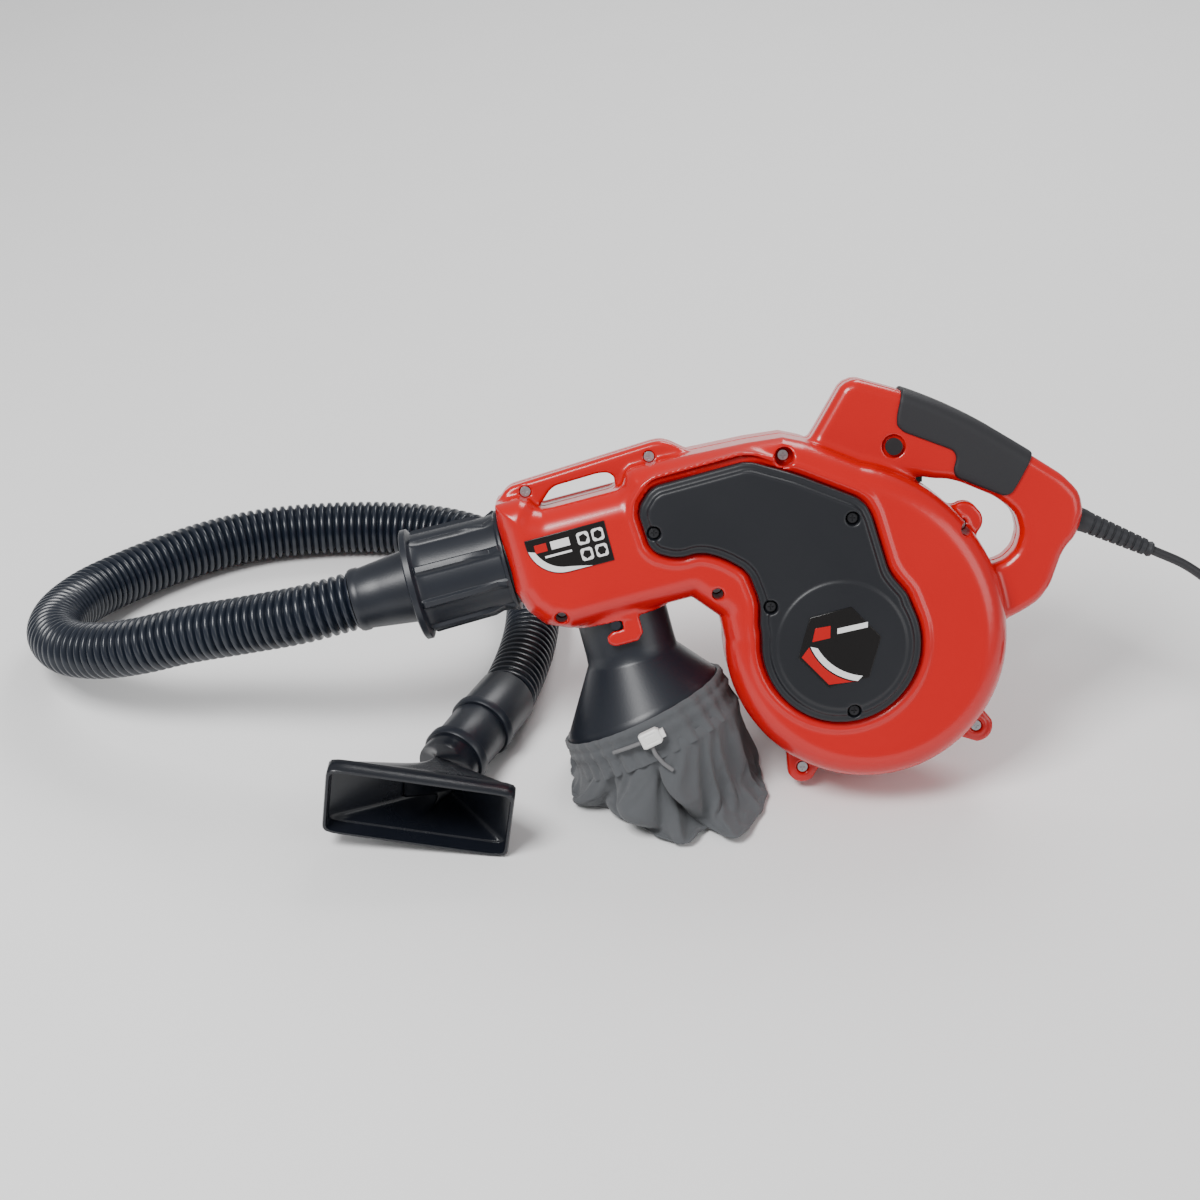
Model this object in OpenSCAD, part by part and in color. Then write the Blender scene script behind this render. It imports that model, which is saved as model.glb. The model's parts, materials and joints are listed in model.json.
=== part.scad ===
// Leaf vacuum mulcher: a hand-held suction fan with hose, flat nozzle and dust bag.
// The tool is drawn lying on the ground: leaned back onto its motor, nose to the left.
// Body parts are drawn in the body frame: x along the body, y from the near side
// (negative) to the motor side (positive), z up, with the fan axis on x = 0, z = 0.

/* [Stance] */
// Angle that the body leans back onto its motor housing
lean = 25; // [24:0.5:26]
// Height of the fan axis above the ground, at the split plane
axis_h = 110; // [110:0.5:114]

/* [Fan scroll] */
// Scroll radius where it starts, at the left
scroll_start_r = 84; // [82:1:86]
// How much the scroll grows over its first half turn
scroll_growth = 40; // [38:1:42]
// Depth of the near shell, split plane to front face
near_depth = 48; // [48:1:50]
// Depth of the far shell, split plane to back wall
far_depth = 38; // [38:1:38]
// Wall thickness of the shells
wall = 3; // [2.5:0.5:3]
// Outer radius of the impeller
impeller_r = 74; // [68:1:76]
// Number of impeller blades
blade_count = 8; // [6:1:10]

/* [Duct] */
// Slope of the suction duct, up towards the fan
duct_tilt = 15; // [15:1:15]
// Inner radius of the hose coupling's seat
mouth_r = 33; // [32:0.5:33]
// Radius of the funnel collar
collar_r = 34; // [33:0.5:34]

/* [Motor] */
// Outer radius of the motor housing
motor_r = 46; // [46:1:48]
// How far the motor housing reaches behind the split plane
motor_end_y = 118; // [118:1:118]
// Shaft radius
shaft_r = 4; // [3.5:0.5:4]

/* [Hose and cord] */
// Outer diameter of the suction hose
hose_d = 44; // [40:1:44]
// Outer diameter of the mains cord
cord_d = 7; // [6:0.5:7]

/* [Hidden] */
$fn = 64;
place_x = 91.4;
place_y = -14;
duct_at = [-244, 54];
scroll_turn = 264;
fit_gap = 0.05;
clear_gap = 0.3;
eye_r = 32;
partition_y = -24;
cover_y = -near_depth - clear_gap;
cover_face_y = cover_y - 9;
handle_half = 19;
loop_half = 14;
lug_half = 7;
bearing_r = 11;
cap_end_y = motor_end_y + 13;
funnel_u = 71;
rim_at = [-143, -58];
rim_tilt = 26;
rim_r = 62;
hem_w = 28;
relief_at = [180, 85];
relief_tilt = 23;
relief_len = 60;
string_d = 3;
lock_at = [39, 141];
trigger_pivot = [31, 135];

// Body screws: [x, z, y of the head's seat, y of the tip]
body_screw_spots = [[91, 82, -lug_half, 6.5], [107, -71, -lug_half, 6.5], [-23, -103, -lug_half, 6.5],
                    [-231, 107, -loop_half, 13], [-140, 133, -loop_half, 13],
                    [-90, 36, -18, 15.5], [-204, 18, -18, 15.5], [-43, 136, -30, 15.5]];
bossed_screws = [5, 6, 7];
cover_screw_spots = [[-137, 82], [6, 93], [-52, 28], [10, -49]];

// Suction hose: from the cuff at the tool, round behind and back under the duct
hose_route = [[-359, 10, 131], [-400, 7, 120], [-445, 13, 106], [-490, 20, 92], [-530, 26, 77], [-565, 39, 63],
              [-594, 59, 52], [-611, 90, 43], [-612, 127, 35], [-598, 166, 28], [-573, 198, 24], [-543, 224, 23],
              [-509, 246, 23], [-473, 262, 23], [-434, 271, 23], [-392, 275, 23], [-350, 274, 23],
              [-309, 266, 23], [-273, 247, 23], [-247, 217, 23], [-234, 182, 23], [-231, 145, 23],
              [-233, 108, 23], [-239, 70, 24], [-248, 32, 25]];
nozzle_heading = 26;
mouth_at = [-308, -127, 38.1];
mouth_roll = 7;
mouth_yaw = -4;
mouth_size = [136, 60];

// Mains cord: from the strain relief down to the coil, and from the coil to the plug
cord_route = [[235, 26, 166], [262, 21, 155], [286, 19, 136], [302, 21, 110], [311, 27, 80], [315, 35, 50],
              [318, 44, 25], [326, 53, 9.5], [341, 59, 4.5], [360, 60.6, 4.5]];
coil_at = [375, 20];
coil_r = 39.6;
coil_lift = 1;
cord_end_route = [[331.8, 20, 25.8], [331, 38, 25.5], [331, 56, 23], [333, 74, 17], [340, 88, 13],
                  [352, 96, 13], [366, 98, 13]];
plug_at = [366, 98, 13];

// ---- frames and helpers ----

module placed() {
    translate([place_x, place_y, axis_h]) rotate([-lean, 0, 0]) children();
}

// On the ground: world axes, moved with the body
module grounded() {
    translate([place_x, place_y, 0]) children();
}

// The duct frame: x up along the duct towards the fan, z square to it
module on_duct() {
    placed() translate([duct_at[0], 0, duct_at[1]]) rotate([0, -duct_tilt, 0]) children();
}

// The funnel's rim frame: -z points out of the rim into the bag
module on_rim() {
    placed() translate([rim_at[0], 0, rim_at[1]]) rotate([0, -rim_tilt, 0]) children();
}

// A flat outline drawn in x and z, filled from y0 to y1
module slab(y0, y1) {
    translate([0, y1, 0]) rotate([90, 0, 0]) linear_extrude(y1 - y0) children();
}

// A round bar along y
module rod(x, z, y0, y1, r) {
    translate([x, y1, z]) rotate([90, 0, 0]) cylinder(r = r, h = y1 - y0);
}

// A round bar along x
module bar_x(x0, x1, r) {
    translate([x0, 0, 0]) rotate([0, 90, 0]) cylinder(r = r, h = x1 - x0);
}

function unit(v) = v / norm(v);
function tangent(p, i) = unit(p[min(i + 1, len(p) - 1)] - p[max(i - 1, 0)]);
function square_to(n, t) = unit(n - (n * t) * t);
function normals(p, i = 0, n = [0, 0, 1]) =
    i >= len(p) ? [] : let (m = square_to(n, tangent(p, i))) concat([m], normals(p, i + 1, m));
function ring(c, t, n, r, sides) =
    [for (k = [0:sides - 1]) c + r * (cos(360 * k / sides) * n + sin(360 * k / sides) * cross(t, n))];

// A solid round tube swept along a route
module swept(p, r, sides) {
    n = normals(p);
    last = len(p) - 1;
    pts = [for (i = [0:last]) each ring(p[i], tangent(p, i), n[i], r, sides)];
    walls = [for (i = [0:last - 1]) for (k = [0:sides - 1]) let (m = (k + 1) % sides)
             [i * sides + k, (i + 1) * sides + k, (i + 1) * sides + m, i * sides + m]];
    start = [[for (k = [0:sides - 1]) k]];
    end = [[for (k = [sides - 1:-1:0]) last * sides + k]];
    polyhedron(pts, concat(walls, start, end), convexity = 8);
}

// A hollow tube swept along a route, open at both ends
module swept_hollow(p, r_out, r_in, sides) {
    n = normals(p);
    last = len(p) - 1;
    two = 2 * sides;
    pts = [for (i = [0:last]) each concat(ring(p[i], tangent(p, i), n[i], r_out, sides),
                                          ring(p[i], tangent(p, i), n[i], r_in, sides))];
    walls = [for (i = [0:last - 1]) for (k = [0:sides - 1]) let (m = (k + 1) % sides)
             each [[i * two + k, (i + 1) * two + k, (i + 1) * two + m, i * two + m],
                   [i * two + sides + m, (i + 1) * two + sides + m, (i + 1) * two + sides + k,
                    i * two + sides + k]]];
    ends = [for (k = [0:sides - 1]) let (m = (k + 1) % sides, e = last * two)
            each [[k, m, sides + m, sides + k], [e + m, e + k, e + sides + k, e + sides + m]]];
    polyhedron(pts, concat(walls, ends), convexity = 12);
}

// ---- outlines ----

function scroll_r(a) =
    a < 180 ? scroll_start_r + scroll_growth * pow(sin(a / 2), 2.4)
            : scroll_start_r + scroll_growth + 7 * pow((a - 180) / (scroll_turn - 180), 2);

function on_body(u, v) = [duct_at[0] + u * cos(duct_tilt) - v * sin(duct_tilt),
                          duct_at[1] + u * sin(duct_tilt) + v * cos(duct_tilt)];

// Outline of scroll and duct together, drawn in by inset all round
function body_pts(inset) = concat(
    [for (a = [0:8:scroll_turn]) let (r = scroll_r(a) - inset) r * [cos(180 + a), sin(180 + a)]],
    [[-28, 144 - inset], [-43, 149 - inset], [-69, 145 - inset]],
    [for (q = [[130, 46, 0, -1], [104, 46, 0, -1], [94, 33.5, 0, -0.6], [34, 33.5, 0, -0.6],
               [24, 46, 0.3, -1], [3, 46, 0.6, -1], [1, 30, 0.6, 0], [1, -20, 0.6, 0], [6, -36, 0.9, 0.5],
               [16, -49, 0.7, 0.7], [34, -57, 0.2, 1], [125, -57, 0, 1]])
        on_body(q[0] + inset * q[2], q[1] + inset * q[3])],
    [[-88 + inset, 17 + inset]]);

// Rear D handle: block, grip bar and strut round the hand opening
function handle_pts() = [[-25, 140], [4, 192], [45, 181], [72, 171], [100, 158], [141, 134], [170, 116],
                         [182, 99], [176, 72], [168, 68], [156, 31], [140, 18], [118, 8], [108, 45],
                         [114, 54], [130, 58], [136, 84], [121, 101], [82, 117], [72, 116], [62, 118],
                         [15, 136], [5, 128]];

// Space inside the handle bar
function handle_cavity_pts() = [[-12, 148], [6, 184], [44, 174], [100, 150], [148, 120], [166, 102],
                                [160, 92], [140, 98], [121, 108], [82, 123], [64, 125], [20, 143]];

// Outline of the suction cover: [x, z, outward x, outward z]
cover_outline = [[-149, 98, -1, 0], [-139, 115, -0.6, 0.8], [-70, 134, 0, 1], [-34, 124, 0.3, 1],
                 [13, 106, 0.7, 0.8], [19, 98, 1, 0.4], [35, 48, 1, 0.3], [47, 33, 0.8, 0.6], [0, 0, 0, 0],
                 [-57, 10, -1, 0], [-60, 32, -1, -0.2], [-69, 54, -0.8, -0.6], [-87, 64, -0.4, -0.9],
                 [-103, 68, 0, -1], [-120, 63, -0.2, -1], [-139, 68, -0.7, -0.7]];

module cover_2d(grow) {
    circle(r = 58 + grow);
    polygon([for (q = cover_outline) [q[0] + grow * q[2], q[1] + grow * q[3]]]);
}

// ---- body shells ----

module front_loop(y0, y1) {
    translate([duct_at[0], 0, duct_at[1]]) rotate([0, -duct_tilt, 0]) slab(y0, y1) difference() {
        polygon([[3, 34], [5, 46], [14, 54], [128, 59], [136, 57], [150, 45], [150, 34]]);
        polygon([[33, 33], [46, 46], [84, 47], [92, 44], [92, 38], [89, 33]]);
    }
}

// The bayonet hook that hangs from the near shell over the funnel collar
module hook() {
    translate([duct_at[0], 0, duct_at[1]]) rotate([0, -duct_tilt, 0]) slab(-39.5, -34.8) {
        polygon([[71, -40], [84, -40], [84, -72], [79, -77], [62, -77], [62, -66], [71, -66]]);
        translate([62, -71.5]) circle(r = 5.5);
    }
}

module lug(x, z, r, y0, y1) {
    rod(x, z, y0, y1, r);
}

// Lugs shared by both shells, on one side of the split plane
module lugs(y0, y1) {
    lug(91, 82, 20, y0, y1);
    lug(107, -71, 16, y0, y1);
    lug(-23, -103, 15, y0, y1);
}

// Half of the funnel socket and of the coupling's seat, on the side given by sign
module sockets(sign, outer) {
    translate([duct_at[0], 0, duct_at[1]]) rotate([0, -duct_tilt, 0]) intersection() {
        union() {
            if (outer) {
                translate([funnel_u, 0, -57]) cylinder(r = 40, h = 24);
                bar_x(2, 21, mouth_r + wall);
            } else {
                translate([funnel_u, 0, -70]) cylinder(r = collar_r + fit_gap, h = 45);
                bar_x(-5, 30, mouth_r + fit_gap);
            }
        }
        translate([-50, sign > 0 ? 0 : -90, -90]) cube([200, 90, 180]);
    }
}

// Seat of the strain relief, along its own slope
module relief_seat() {
    translate([relief_at[0], 0, relief_at[1]]) rotate([0, relief_tilt, 0]) {
        bar_x(-10, 8, 8.75);
        bar_x(-14, -5.8, 11.2);
    }
}

module screw_bosses(y0, y1) {
    for (k = bossed_screws) rod(body_screw_spots[k][0], body_screw_spots[k][1], y0, y1, 6.4);
}

module near_shell() {
    color("red") placed() {
        difference() {
            union() {
                difference() {
                    union() {
                        slab(-24, 0) polygon(body_pts(0));
                        slab(-36, -24) polygon(body_pts(5));
                        slab(-44, -36) polygon(body_pts(12));
                        slab(-near_depth, -44) polygon(body_pts(20));
                    }
                    slab(partition_y, 1) polygon(body_pts(wall));
                    slab(-near_depth + wall, partition_y + 0.01) difference() {
                        polygon(body_pts(15 + wall));
                        cover_2d(4);
                    }
                    slab(-near_depth - 1, partition_y - wall) cover_2d(-4);
                    rod(0, 0, partition_y - wall - 1, 1, eye_r);
                    duct_window();
                }
                slab(-handle_half, 0) polygon(handle_pts());
                front_loop(-loop_half, 0);
                lugs(-lug_half, 0);
                sockets(-1, true);
                screw_bosses(-40, 0);
                for (s = cover_screw_spots) rod(s[0], s[1], -near_depth, -26, 5);
                hook();
            }
            sockets(-1, false);
            slab(-handle_half + wall, 1) polygon(handle_cavity_pts());
            trigger_slot(-1);
            rod(lock_at[0], lock_at[1], -30, 1, 6.3 + fit_gap);
            rod(trigger_pivot[0], trigger_pivot[1], -11, 1, 1.5);
            relief_seat();
            for (s = body_screw_spots) {
                rod(s[0], s[1], -60, 1, 2.2);
                rod(s[0], s[1], -60, s[2] + 2.5, 4.2);
            }
            for (s = cover_screw_spots) rod(s[0], s[1], -60, -34, 1.7);
        }
    }
}

// Way from the duct into the suction channel under the cover
module duct_window() {
    slab(-near_depth - 1, -20) polygon([[-142, 80], [-134, 108], [-98, 116], [-92, 78]]);
}

module trigger_slot(sign) {
    translate([0, sign > 0 ? -1 : -8, 0]) slab(0, 9) polygon([[26, 122], [26, 146], [64, 140], [64, 108]]);
}

module far_shell() {
    color("red") placed() {
        difference() {
            union() {
                difference() {
                    union() {
                        slab(0, 22) polygon(body_pts(0));
                        slab(22, 32) polygon(body_pts(6));
                        slab(32, far_depth) polygon(body_pts(15));
                    }
                    slab(-1, 22) polygon(body_pts(wall));
                    slab(21, far_depth - 4) polygon(body_pts(15 + wall));
                    rod(0, 0, 20, 60, bearing_r + 2);
                }
                slab(0, handle_half) polygon(handle_pts());
                front_loop(0, loop_half);
                lugs(0, lug_half);
                sockets(1, true);
                screw_bosses(0, 24);
            }
            sockets(1, false);
            slab(-1, handle_half - wall) polygon(handle_cavity_pts());
            trigger_slot(1);
            rod(trigger_pivot[0], trigger_pivot[1], -1, 11, 1.5);
            relief_seat();
            for (s = body_screw_spots) rod(s[0], s[1], -1, 16, 2.05);
            for (a = [45:90:315]) rod(40 * cos(a), 40 * sin(a), 30, 40, 1.6);
        }
    }
}

module suction_cover() {
    color([0.13, 0.14, 0.17]) placed() difference() {
        union() {
            slab(cover_y - 5, cover_y) cover_2d(0);
            slab(cover_face_y, cover_y - 5) cover_2d(-3);
            rod(0, 0, cover_face_y - 1, cover_face_y, 46);
        }
        difference() {
            slab(cover_y - 6, 0) cover_2d(-6);
            for (s = cover_screw_spots) rod(s[0], s[1], cover_y - 7, cover_y, 6.5);
        }
        for (s = cover_screw_spots) {
            rod(s[0], s[1], -70, 0, 1.9);
            rod(s[0], s[1], -70, cover_y - 2.5, 4.4);
        }
    }
}

// A pan-head screw along y, its head towards the near side
module screw_y(x, z, head_y, head_r, r, length) {
    difference() {
        union() {
            rod(x, z, head_y, head_y + 2.2, head_r);
            rod(x, z, head_y + 2.2, head_y + 2.2 + length, r);
        }
        for (turn = [0, 90]) {
            translate([x, head_y, z]) rotate([0, turn, 0]) cube([head_r * 1.2, 2, 0.9], center = true);
        }
    }
}

module cover_screws() {
    color("dimgray") placed() for (s = cover_screw_spots) {
        screw_y(s[0], s[1], cover_y - 4.7, 3.6, 1.65, 14);
    }
}

module body_screws() {
    color("silver") placed() for (s = body_screw_spots) {
        screw_y(s[0], s[1], s[2] + 0.3, 3.8, 2, s[3] - s[2] - 2.5);
    }
}

// Six-sided badge on the cover, with no lettering
module fan_badge() {
    color([0.2, 0.2, 0.2]) placed() slab(cover_face_y - 1.8, cover_face_y - 1) {
        translate([-2, -1]) rotate(15) circle(r = 31, $fn = 6);
    }
}

// Long badge on the side of the duct, round at its front end, with no lettering
module duct_badge() {
    color([0.2, 0.2, 0.2]) on_duct() slab(-near_depth - 0.8, -near_depth) {
        polygon(concat([[79, 17], [18, 17]], [for (a = [180:10:270]) [44 + 26 * cos(a), 13 + 26 * sin(a)]],
                       [[79, -13]]));
    }
}

// ---- rear handle ----

// Soft grip pad over one side of the handle bar
module grip_pad(side) {
    face = side * handle_half;
    outer = face + side * 2.5;
    slab(min(face, outer), max(face, outer)) {
        polygon([[46, 179], [72, 169], [100, 156], [139, 133], [130, 112], [124, 103], [82, 119], [86, 137],
                 [42, 153], [40, 160]]);
    }
}

module grip_near() {
    color([0.2, 0.2, 0.22]) placed() grip_pad(-1);
}

module grip_far() {
    color([0.2, 0.2, 0.22]) placed() grip_pad(1);
}

module trigger() {
    color([0.15, 0.1, 0.1]) placed() difference() {
        slab(-6.4, 6.4) polygon([[28, 138], [34, 138], [62, 126], [62, 113.5], [58, 113], [36, 126], [28, 131]]);
        rod(trigger_pivot[0], trigger_pivot[1], -9, 9, 1.5 + fit_gap);
    }
}

module trigger_pin() {
    color("silver") placed() rod(trigger_pivot[0], trigger_pivot[1], -10.9, 10.9, 1.49);
}

module spring_sleeve(r, h, turns) {
    for (k = [0:turns - 1]) translate([0, 0, (k + 0.5) * h / turns]) rotate_extrude() {
        translate([r, 0]) circle(r = h / turns / 2 + 0.02, $fn = 16);
    }
}

module trigger_spring() {
    color("silver") placed() translate([56, 0, 134.3]) spring_sleeve(2.6, 4, 5);
}

module lock_button() {
    color([0.15, 0.05, 0.08]) placed() rod(lock_at[0], lock_at[1], -handle_half - 1.5, -9, 6.3);
}

module lock_spring() {
    color("silver") placed() translate([lock_at[0], -0.5, lock_at[1]]) rotate([90, 0, 0]) {
        spring_sleeve(3, 6, 6);
    }
}

module switch_body() {
    color([0.1, 0.1, 0.1]) placed() translate([70, 0, 141]) rotate([0, 21, 0]) cube([36, 20, 12], center = true);
}

module capacitor() {
    color("gold") placed() translate([112, 0, 129]) rotate([0, 24, 0]) cube([22, 12, 10], center = true);
}

module strain_relief() {
    color([0.1, 0.1, 0.12]) placed() translate([relief_at[0], 0, relief_at[1]]) rotate([0, relief_tilt, 0]) {
        difference() {
            union() {
                bar_x(-5.9, 3, 8.7);
                bar_x(-9, -5.9, 11);
                translate([3, 0, 0]) rotate([0, 90, 0]) cylinder(r1 = 8.7, r2 = 6, h = relief_len - 3);
            }
            bar_x(-10, relief_len - 12, cord_d / 2);
        }
    }
}

module cord_clamp() {
    color([0.1, 0.1, 0.1]) placed() translate([147, 0, 108]) rotate([0, relief_tilt, 0]) difference() {
        cube([9, 26, 5], center = true);
        for (y = [-9, 9]) translate([0, y, -5]) cylinder(r = 1.6, h = 10);
    }
}

module clamp_screws() {
    color("silver") placed() translate([147, 0, 108]) rotate([0, relief_tilt, 0]) for (y = [-9, 9]) {
        translate([0, y, -4.5]) cylinder(r = 1.55, h = 7);
        translate([0, y, 2.5]) cylinder(r = 2.8, h = 1.8);
    }
}

// ---- fan and motor, all round the fan axis ----

module impeller() {
    color([0.3, 0.3, 0.33]) placed() difference() {
        union() {
            rod(0, 0, 11.5, 14, impeller_r);
            rod(0, 0, -17, 14, 13);
            for (k = [0:blade_count - 1]) rotate([0, k * 360 / blade_count, 0]) {
                translate([11, -16.5, -1.2]) cube([impeller_r - 13, 29.5, 2.4]);
            }
        }
        rod(0, 0, -20, 20, shaft_r);
    }
}

module fan_nut() {
    color("silver") placed() difference() {
        union() {
            slab(-22, -18) circle(r = 8, $fn = 6);
            rod(0, 0, -18, -17, 9);
        }
        rod(0, 0, -25, -10, shaft_r);
    }
}

module motor_shaft() {
    color("silver") placed() rod(0, 0, -23, motor_end_y + 3, shaft_r);
}

module armature() {
    color([0.55, 0.35, 0.2]) placed() difference() {
        union() {
            rod(0, 0, 58, 92, 25);
            rod(0, 0, 53, 97, 19);
        }
        for (k = [0:11]) rotate([0, k * 30, 0]) translate([21, 50, -1.2]) cube([6, 50, 2.4]);
        rod(0, 0, 50, 100, shaft_r);
    }
}

module commutator() {
    color([0.72, 0.45, 0.2]) placed() difference() {
        rod(0, 0, 97.5, 108, 12);
        rod(0, 0, 90, 110, shaft_r);
    }
}

module cooling_fan() {
    color([0.2, 0.2, 0.2]) placed() difference() {
        union() {
            rod(0, 0, 47.5, 49, 36);
            rod(0, 0, 47.5, 52.5, 9);
            for (k = [0:9]) rotate([0, k * 36, 0]) translate([8, 48.5, -0.8]) cube([27, 3.5, 1.6]);
        }
        rod(0, 0, 40, 60, shaft_r);
    }
}

module stator() {
    color([0.45, 0.45, 0.48]) placed() difference() {
        union() {
            rod(0, 0, 58, 92, motor_r - wall - 0.2);
            rod(0, 0, 54, 96, 38);
        }
        rod(0, 0, 50, 100, 25.6);
    }
}

module bearing(y0) {
    difference() {
        rod(0, 0, y0, y0 + 7, bearing_r);
        rod(0, 0, y0 - 1, y0 + 8, shaft_r + 0.03);
        for (side = [-1, 7]) difference() {
            rod(0, 0, y0 + side - 0.2, y0 + side + 1.2, 9);
            rod(0, 0, y0 + side - 1, y0 + side + 2, 6.5);
        }
    }
}

module front_bearing() {
    color("silver") placed() bearing(39);
}

module rear_bearing() {
    color("silver") placed() bearing(112);
}

module carbon_brushes() {
    color([0.15, 0.15, 0.15]) placed() for (side = [-1, 1]) {
        translate([side * 19.1, 102.75, 0]) cube([14, 5, 7], center = true);
    }
}

module brush_holders() {
    color("goldenrod") placed() for (side = [-1, 1]) translate([side * 27, 102.75, 0]) difference() {
        cube([26, 7, 9], center = true);
        translate([-side * 2, 0, 0]) cube([26, 5.1, 7.1], center = true);
    }
}

module motor_housing() {
    color([0.13, 0.14, 0.17]) placed() difference() {
        rod(0, 0, far_depth, motor_end_y, motor_r);
        rod(0, 0, far_depth + 9, motor_end_y + 1, motor_r - wall);
        difference() {
            rod(0, 0, far_depth + 4, far_depth + 10, motor_r - wall);
            rod(0, 0, far_depth, far_depth + 12, bearing_r + 3);
        }
        rod(0, 0, far_depth + 1, far_depth + 20, bearing_r + 0.01);
        rod(0, 0, 0, far_depth + 10, shaft_r + 2);
        for (a = [45:90:315]) rod(40 * cos(a), 40 * sin(a), 30, far_depth + 10, 1.8);
        for (a = [30:30:330]) rotate([0, a, 0]) translate([motor_r - 5, 50, -1.5]) cube([10, 4, 3]);
    }
}

module motor_end_cap() {
    color([0.13, 0.14, 0.17]) difference() {
        placed() difference() {
            union() {
                rod(0, 0, motor_end_y, cap_end_y, 50);
                rod(0, 0, motor_end_y - 8, motor_end_y, bearing_r + 3);
                for (x = [-27, 27]) translate([x - 7, motor_end_y, -62]) cube([14, cap_end_y - motor_end_y, 30]);
            }
            rod(0, 0, motor_end_y - 6, motor_end_y + 1.01, bearing_r + 0.01);
            rod(0, 0, motor_end_y - 10, motor_end_y + 5, shaft_r + 2);
            difference() {
                rod(0, 0, motor_end_y - 1, cap_end_y - wall, 44);
                rod(0, 0, 0, 200, bearing_r + 3);
                for (a = [45:90:315]) rod(38 * cos(a), 38 * sin(a), 0, 200, 5);
            }
            for (z = [-24:8:24]) translate([-22, cap_end_y - 4, z - 1.5]) cube([44, 8, 3]);
            for (a = [45:90:315]) {
                rod(38 * cos(a), 38 * sin(a), 100, 200, 1.7);
                rod(38 * cos(a), 38 * sin(a), cap_end_y - 3, 200, 4);
            }
        }
        translate([-300, -300, -100]) cube([600, 600, 100]);
    }
}

module motor_screws() {
    color("silver") placed() for (a = [45:90:315]) translate([0, 2 * cap_end_y - 3, 0]) mirror([0, 1, 0]) {
        screw_y(38 * cos(a), 38 * sin(a), cap_end_y - 2.8, 3.5, 1.6, 16);
    }
}

// ---- suction side: coupling, tube, hose, nozzle ----

module coupling() {
    color([0.2, 0.22, 0.26]) on_duct() difference() {
        union() {
            bar_x(0.2, 20, mouth_r);
            bar_x(-66, 0.7, 36.5);
            bar_x(-74, -66, 42);
            translate([0, 0, -41]) bar_x(-73.4, -60, 6);
            for (a = [20:40:340]) rotate([a, 0, 0]) translate([-67, -6, 35]) cube([67, 12, 2.6]);
        }
        bar_x(-80, 30, 27.5);
    }
}

module coupling_seal() {
    color([0.05, 0.05, 0.05]) on_duct() difference() {
        bar_x(21.2, 23.5, mouth_r - 0.5);
        bar_x(20, 25, 28);
    }
}

module inner_tube() {
    color([0.2, 0.22, 0.26]) on_duct() difference() {
        bar_x(24, 148, 30.8);
        bar_x(23, 145, 28.6);
        translate([90, -40, -35]) cube([60, 16.3, 70]);
    }
}

module hose_cuff() {
    color([0.25, 0.28, 0.32]) on_duct() difference() {
        union() {
            bar_x(-72, -20, 27.4);
            translate([-119, 0, 0]) rotate([0, 90, 0]) cylinder(r1 = 22.5, r2 = 27.4, h = 47);
        }
        bar_x(-130, -10, 20);
    }
}

module suction_hose() {
    color([0.1, 0.12, 0.16]) grounded() swept_hollow(hose_route, hose_d / 2, hose_d / 2 - 2, 12);
}

// The frame of the hose's far end: -y runs on along the hose
module on_hose_end() {
    grounded() translate(hose_route[len(hose_route) - 1]) rotate([0, 0, -nozzle_heading]) {
        children();
    }
}

// A round bar of the nozzle end, from s0 to s1 past the hose end
module end_bar(s0, s1, r0, r1) {
    translate([0, -s0, 0]) rotate([90, 0, 0]) cylinder(r1 = r0, r2 = r1, h = s1 - s0);
}

module nozzle_cuff() {
    color([0.2, 0.22, 0.26]) on_hose_end() difference() {
        union() {
            end_bar(clear_gap, 46, 22.8, 23.6);
            end_bar(40, 46, 24.8, 24.8);
        }
        end_bar(-1, 47, 20, 20);
    }
}

module nozzle_adapter() {
    color([0.2, 0.22, 0.26]) on_hose_end() difference() {
        union() {
            end_bar(46, 88, 23, 22.6);
            end_bar(80, 88, 24.8, 24.8);
        }
        end_bar(40, 90, 20, 20);
    }
}

module at_mouth() {
    grounded() translate(mouth_at) rotate([0, mouth_roll, mouth_yaw]) children();
}

module mouth_slab(grow, y0, y1) {
    translate([-mouth_size[0] / 2 - grow, y0, -mouth_size[1] / 2 - grow]) {
        cube([mouth_size[0] + 2 * grow, y1 - y0, mouth_size[1] + 2 * grow]);
    }
}

module nozzle() {
    color([0.1, 0.11, 0.14]) difference() {
        union() {
            on_hose_end() end_bar(88, 104, 22.8, 22.8);
            hull() {
                on_hose_end() end_bar(99, 101, 22.2, 22.2, $fn = 24);
                at_mouth() mouth_slab(-1, 12, 15);
            }
            at_mouth() mouth_slab(0, 0, 17);
        }
        hull() {
            on_hose_end() end_bar(97, 98, 19.4, 19.4, $fn = 24);
            at_mouth() mouth_slab(-3.5, 9, 11);
        }
        on_hose_end() end_bar(80, 106, 20, 20);
        at_mouth() mouth_slab(-2.5, -1, 13);
    }
}

// ---- delivery side: funnel and bag ----

module funnel_shape(r_collar, r_rim, top, out) {
    on_duct() translate([funnel_u, 0, -95]) cylinder(r = r_collar, h = 95 + top);
    hull() {
        on_duct() translate([funnel_u, 0, -96]) cylinder(r = r_collar - 0.4, h = 2, $fn = 48);
        on_rim() translate([0, 0, -out]) cylinder(r = r_rim, h = 4 + out, $fn = 48);
    }
}

module bag_funnel() {
    color([0.2, 0.22, 0.25]) difference() {
        funnel_shape(collar_r, rim_r, -46, 0);
        funnel_shape(collar_r - 2.5, rim_r - 2.5, -40, 1);
        on_duct() rod(66, -61.5, -45, 0, 3.8);
    }
}

module funnel_pin() {
    color([0.2, 0.22, 0.25]) on_duct() rod(66, -61.5, -38.8, -31.6, 3.75);
}

module bag_hem() {
    color([0.42, 0.44, 0.46]) on_rim() difference() {
        translate([0, 0, 3 - hem_w]) cylinder(r = rim_r + 1.9, h = hem_w);
        translate([0, 0, -hem_w]) cylinder(r = rim_r + 0.3, h = hem_w + 5);
    }
}

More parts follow.
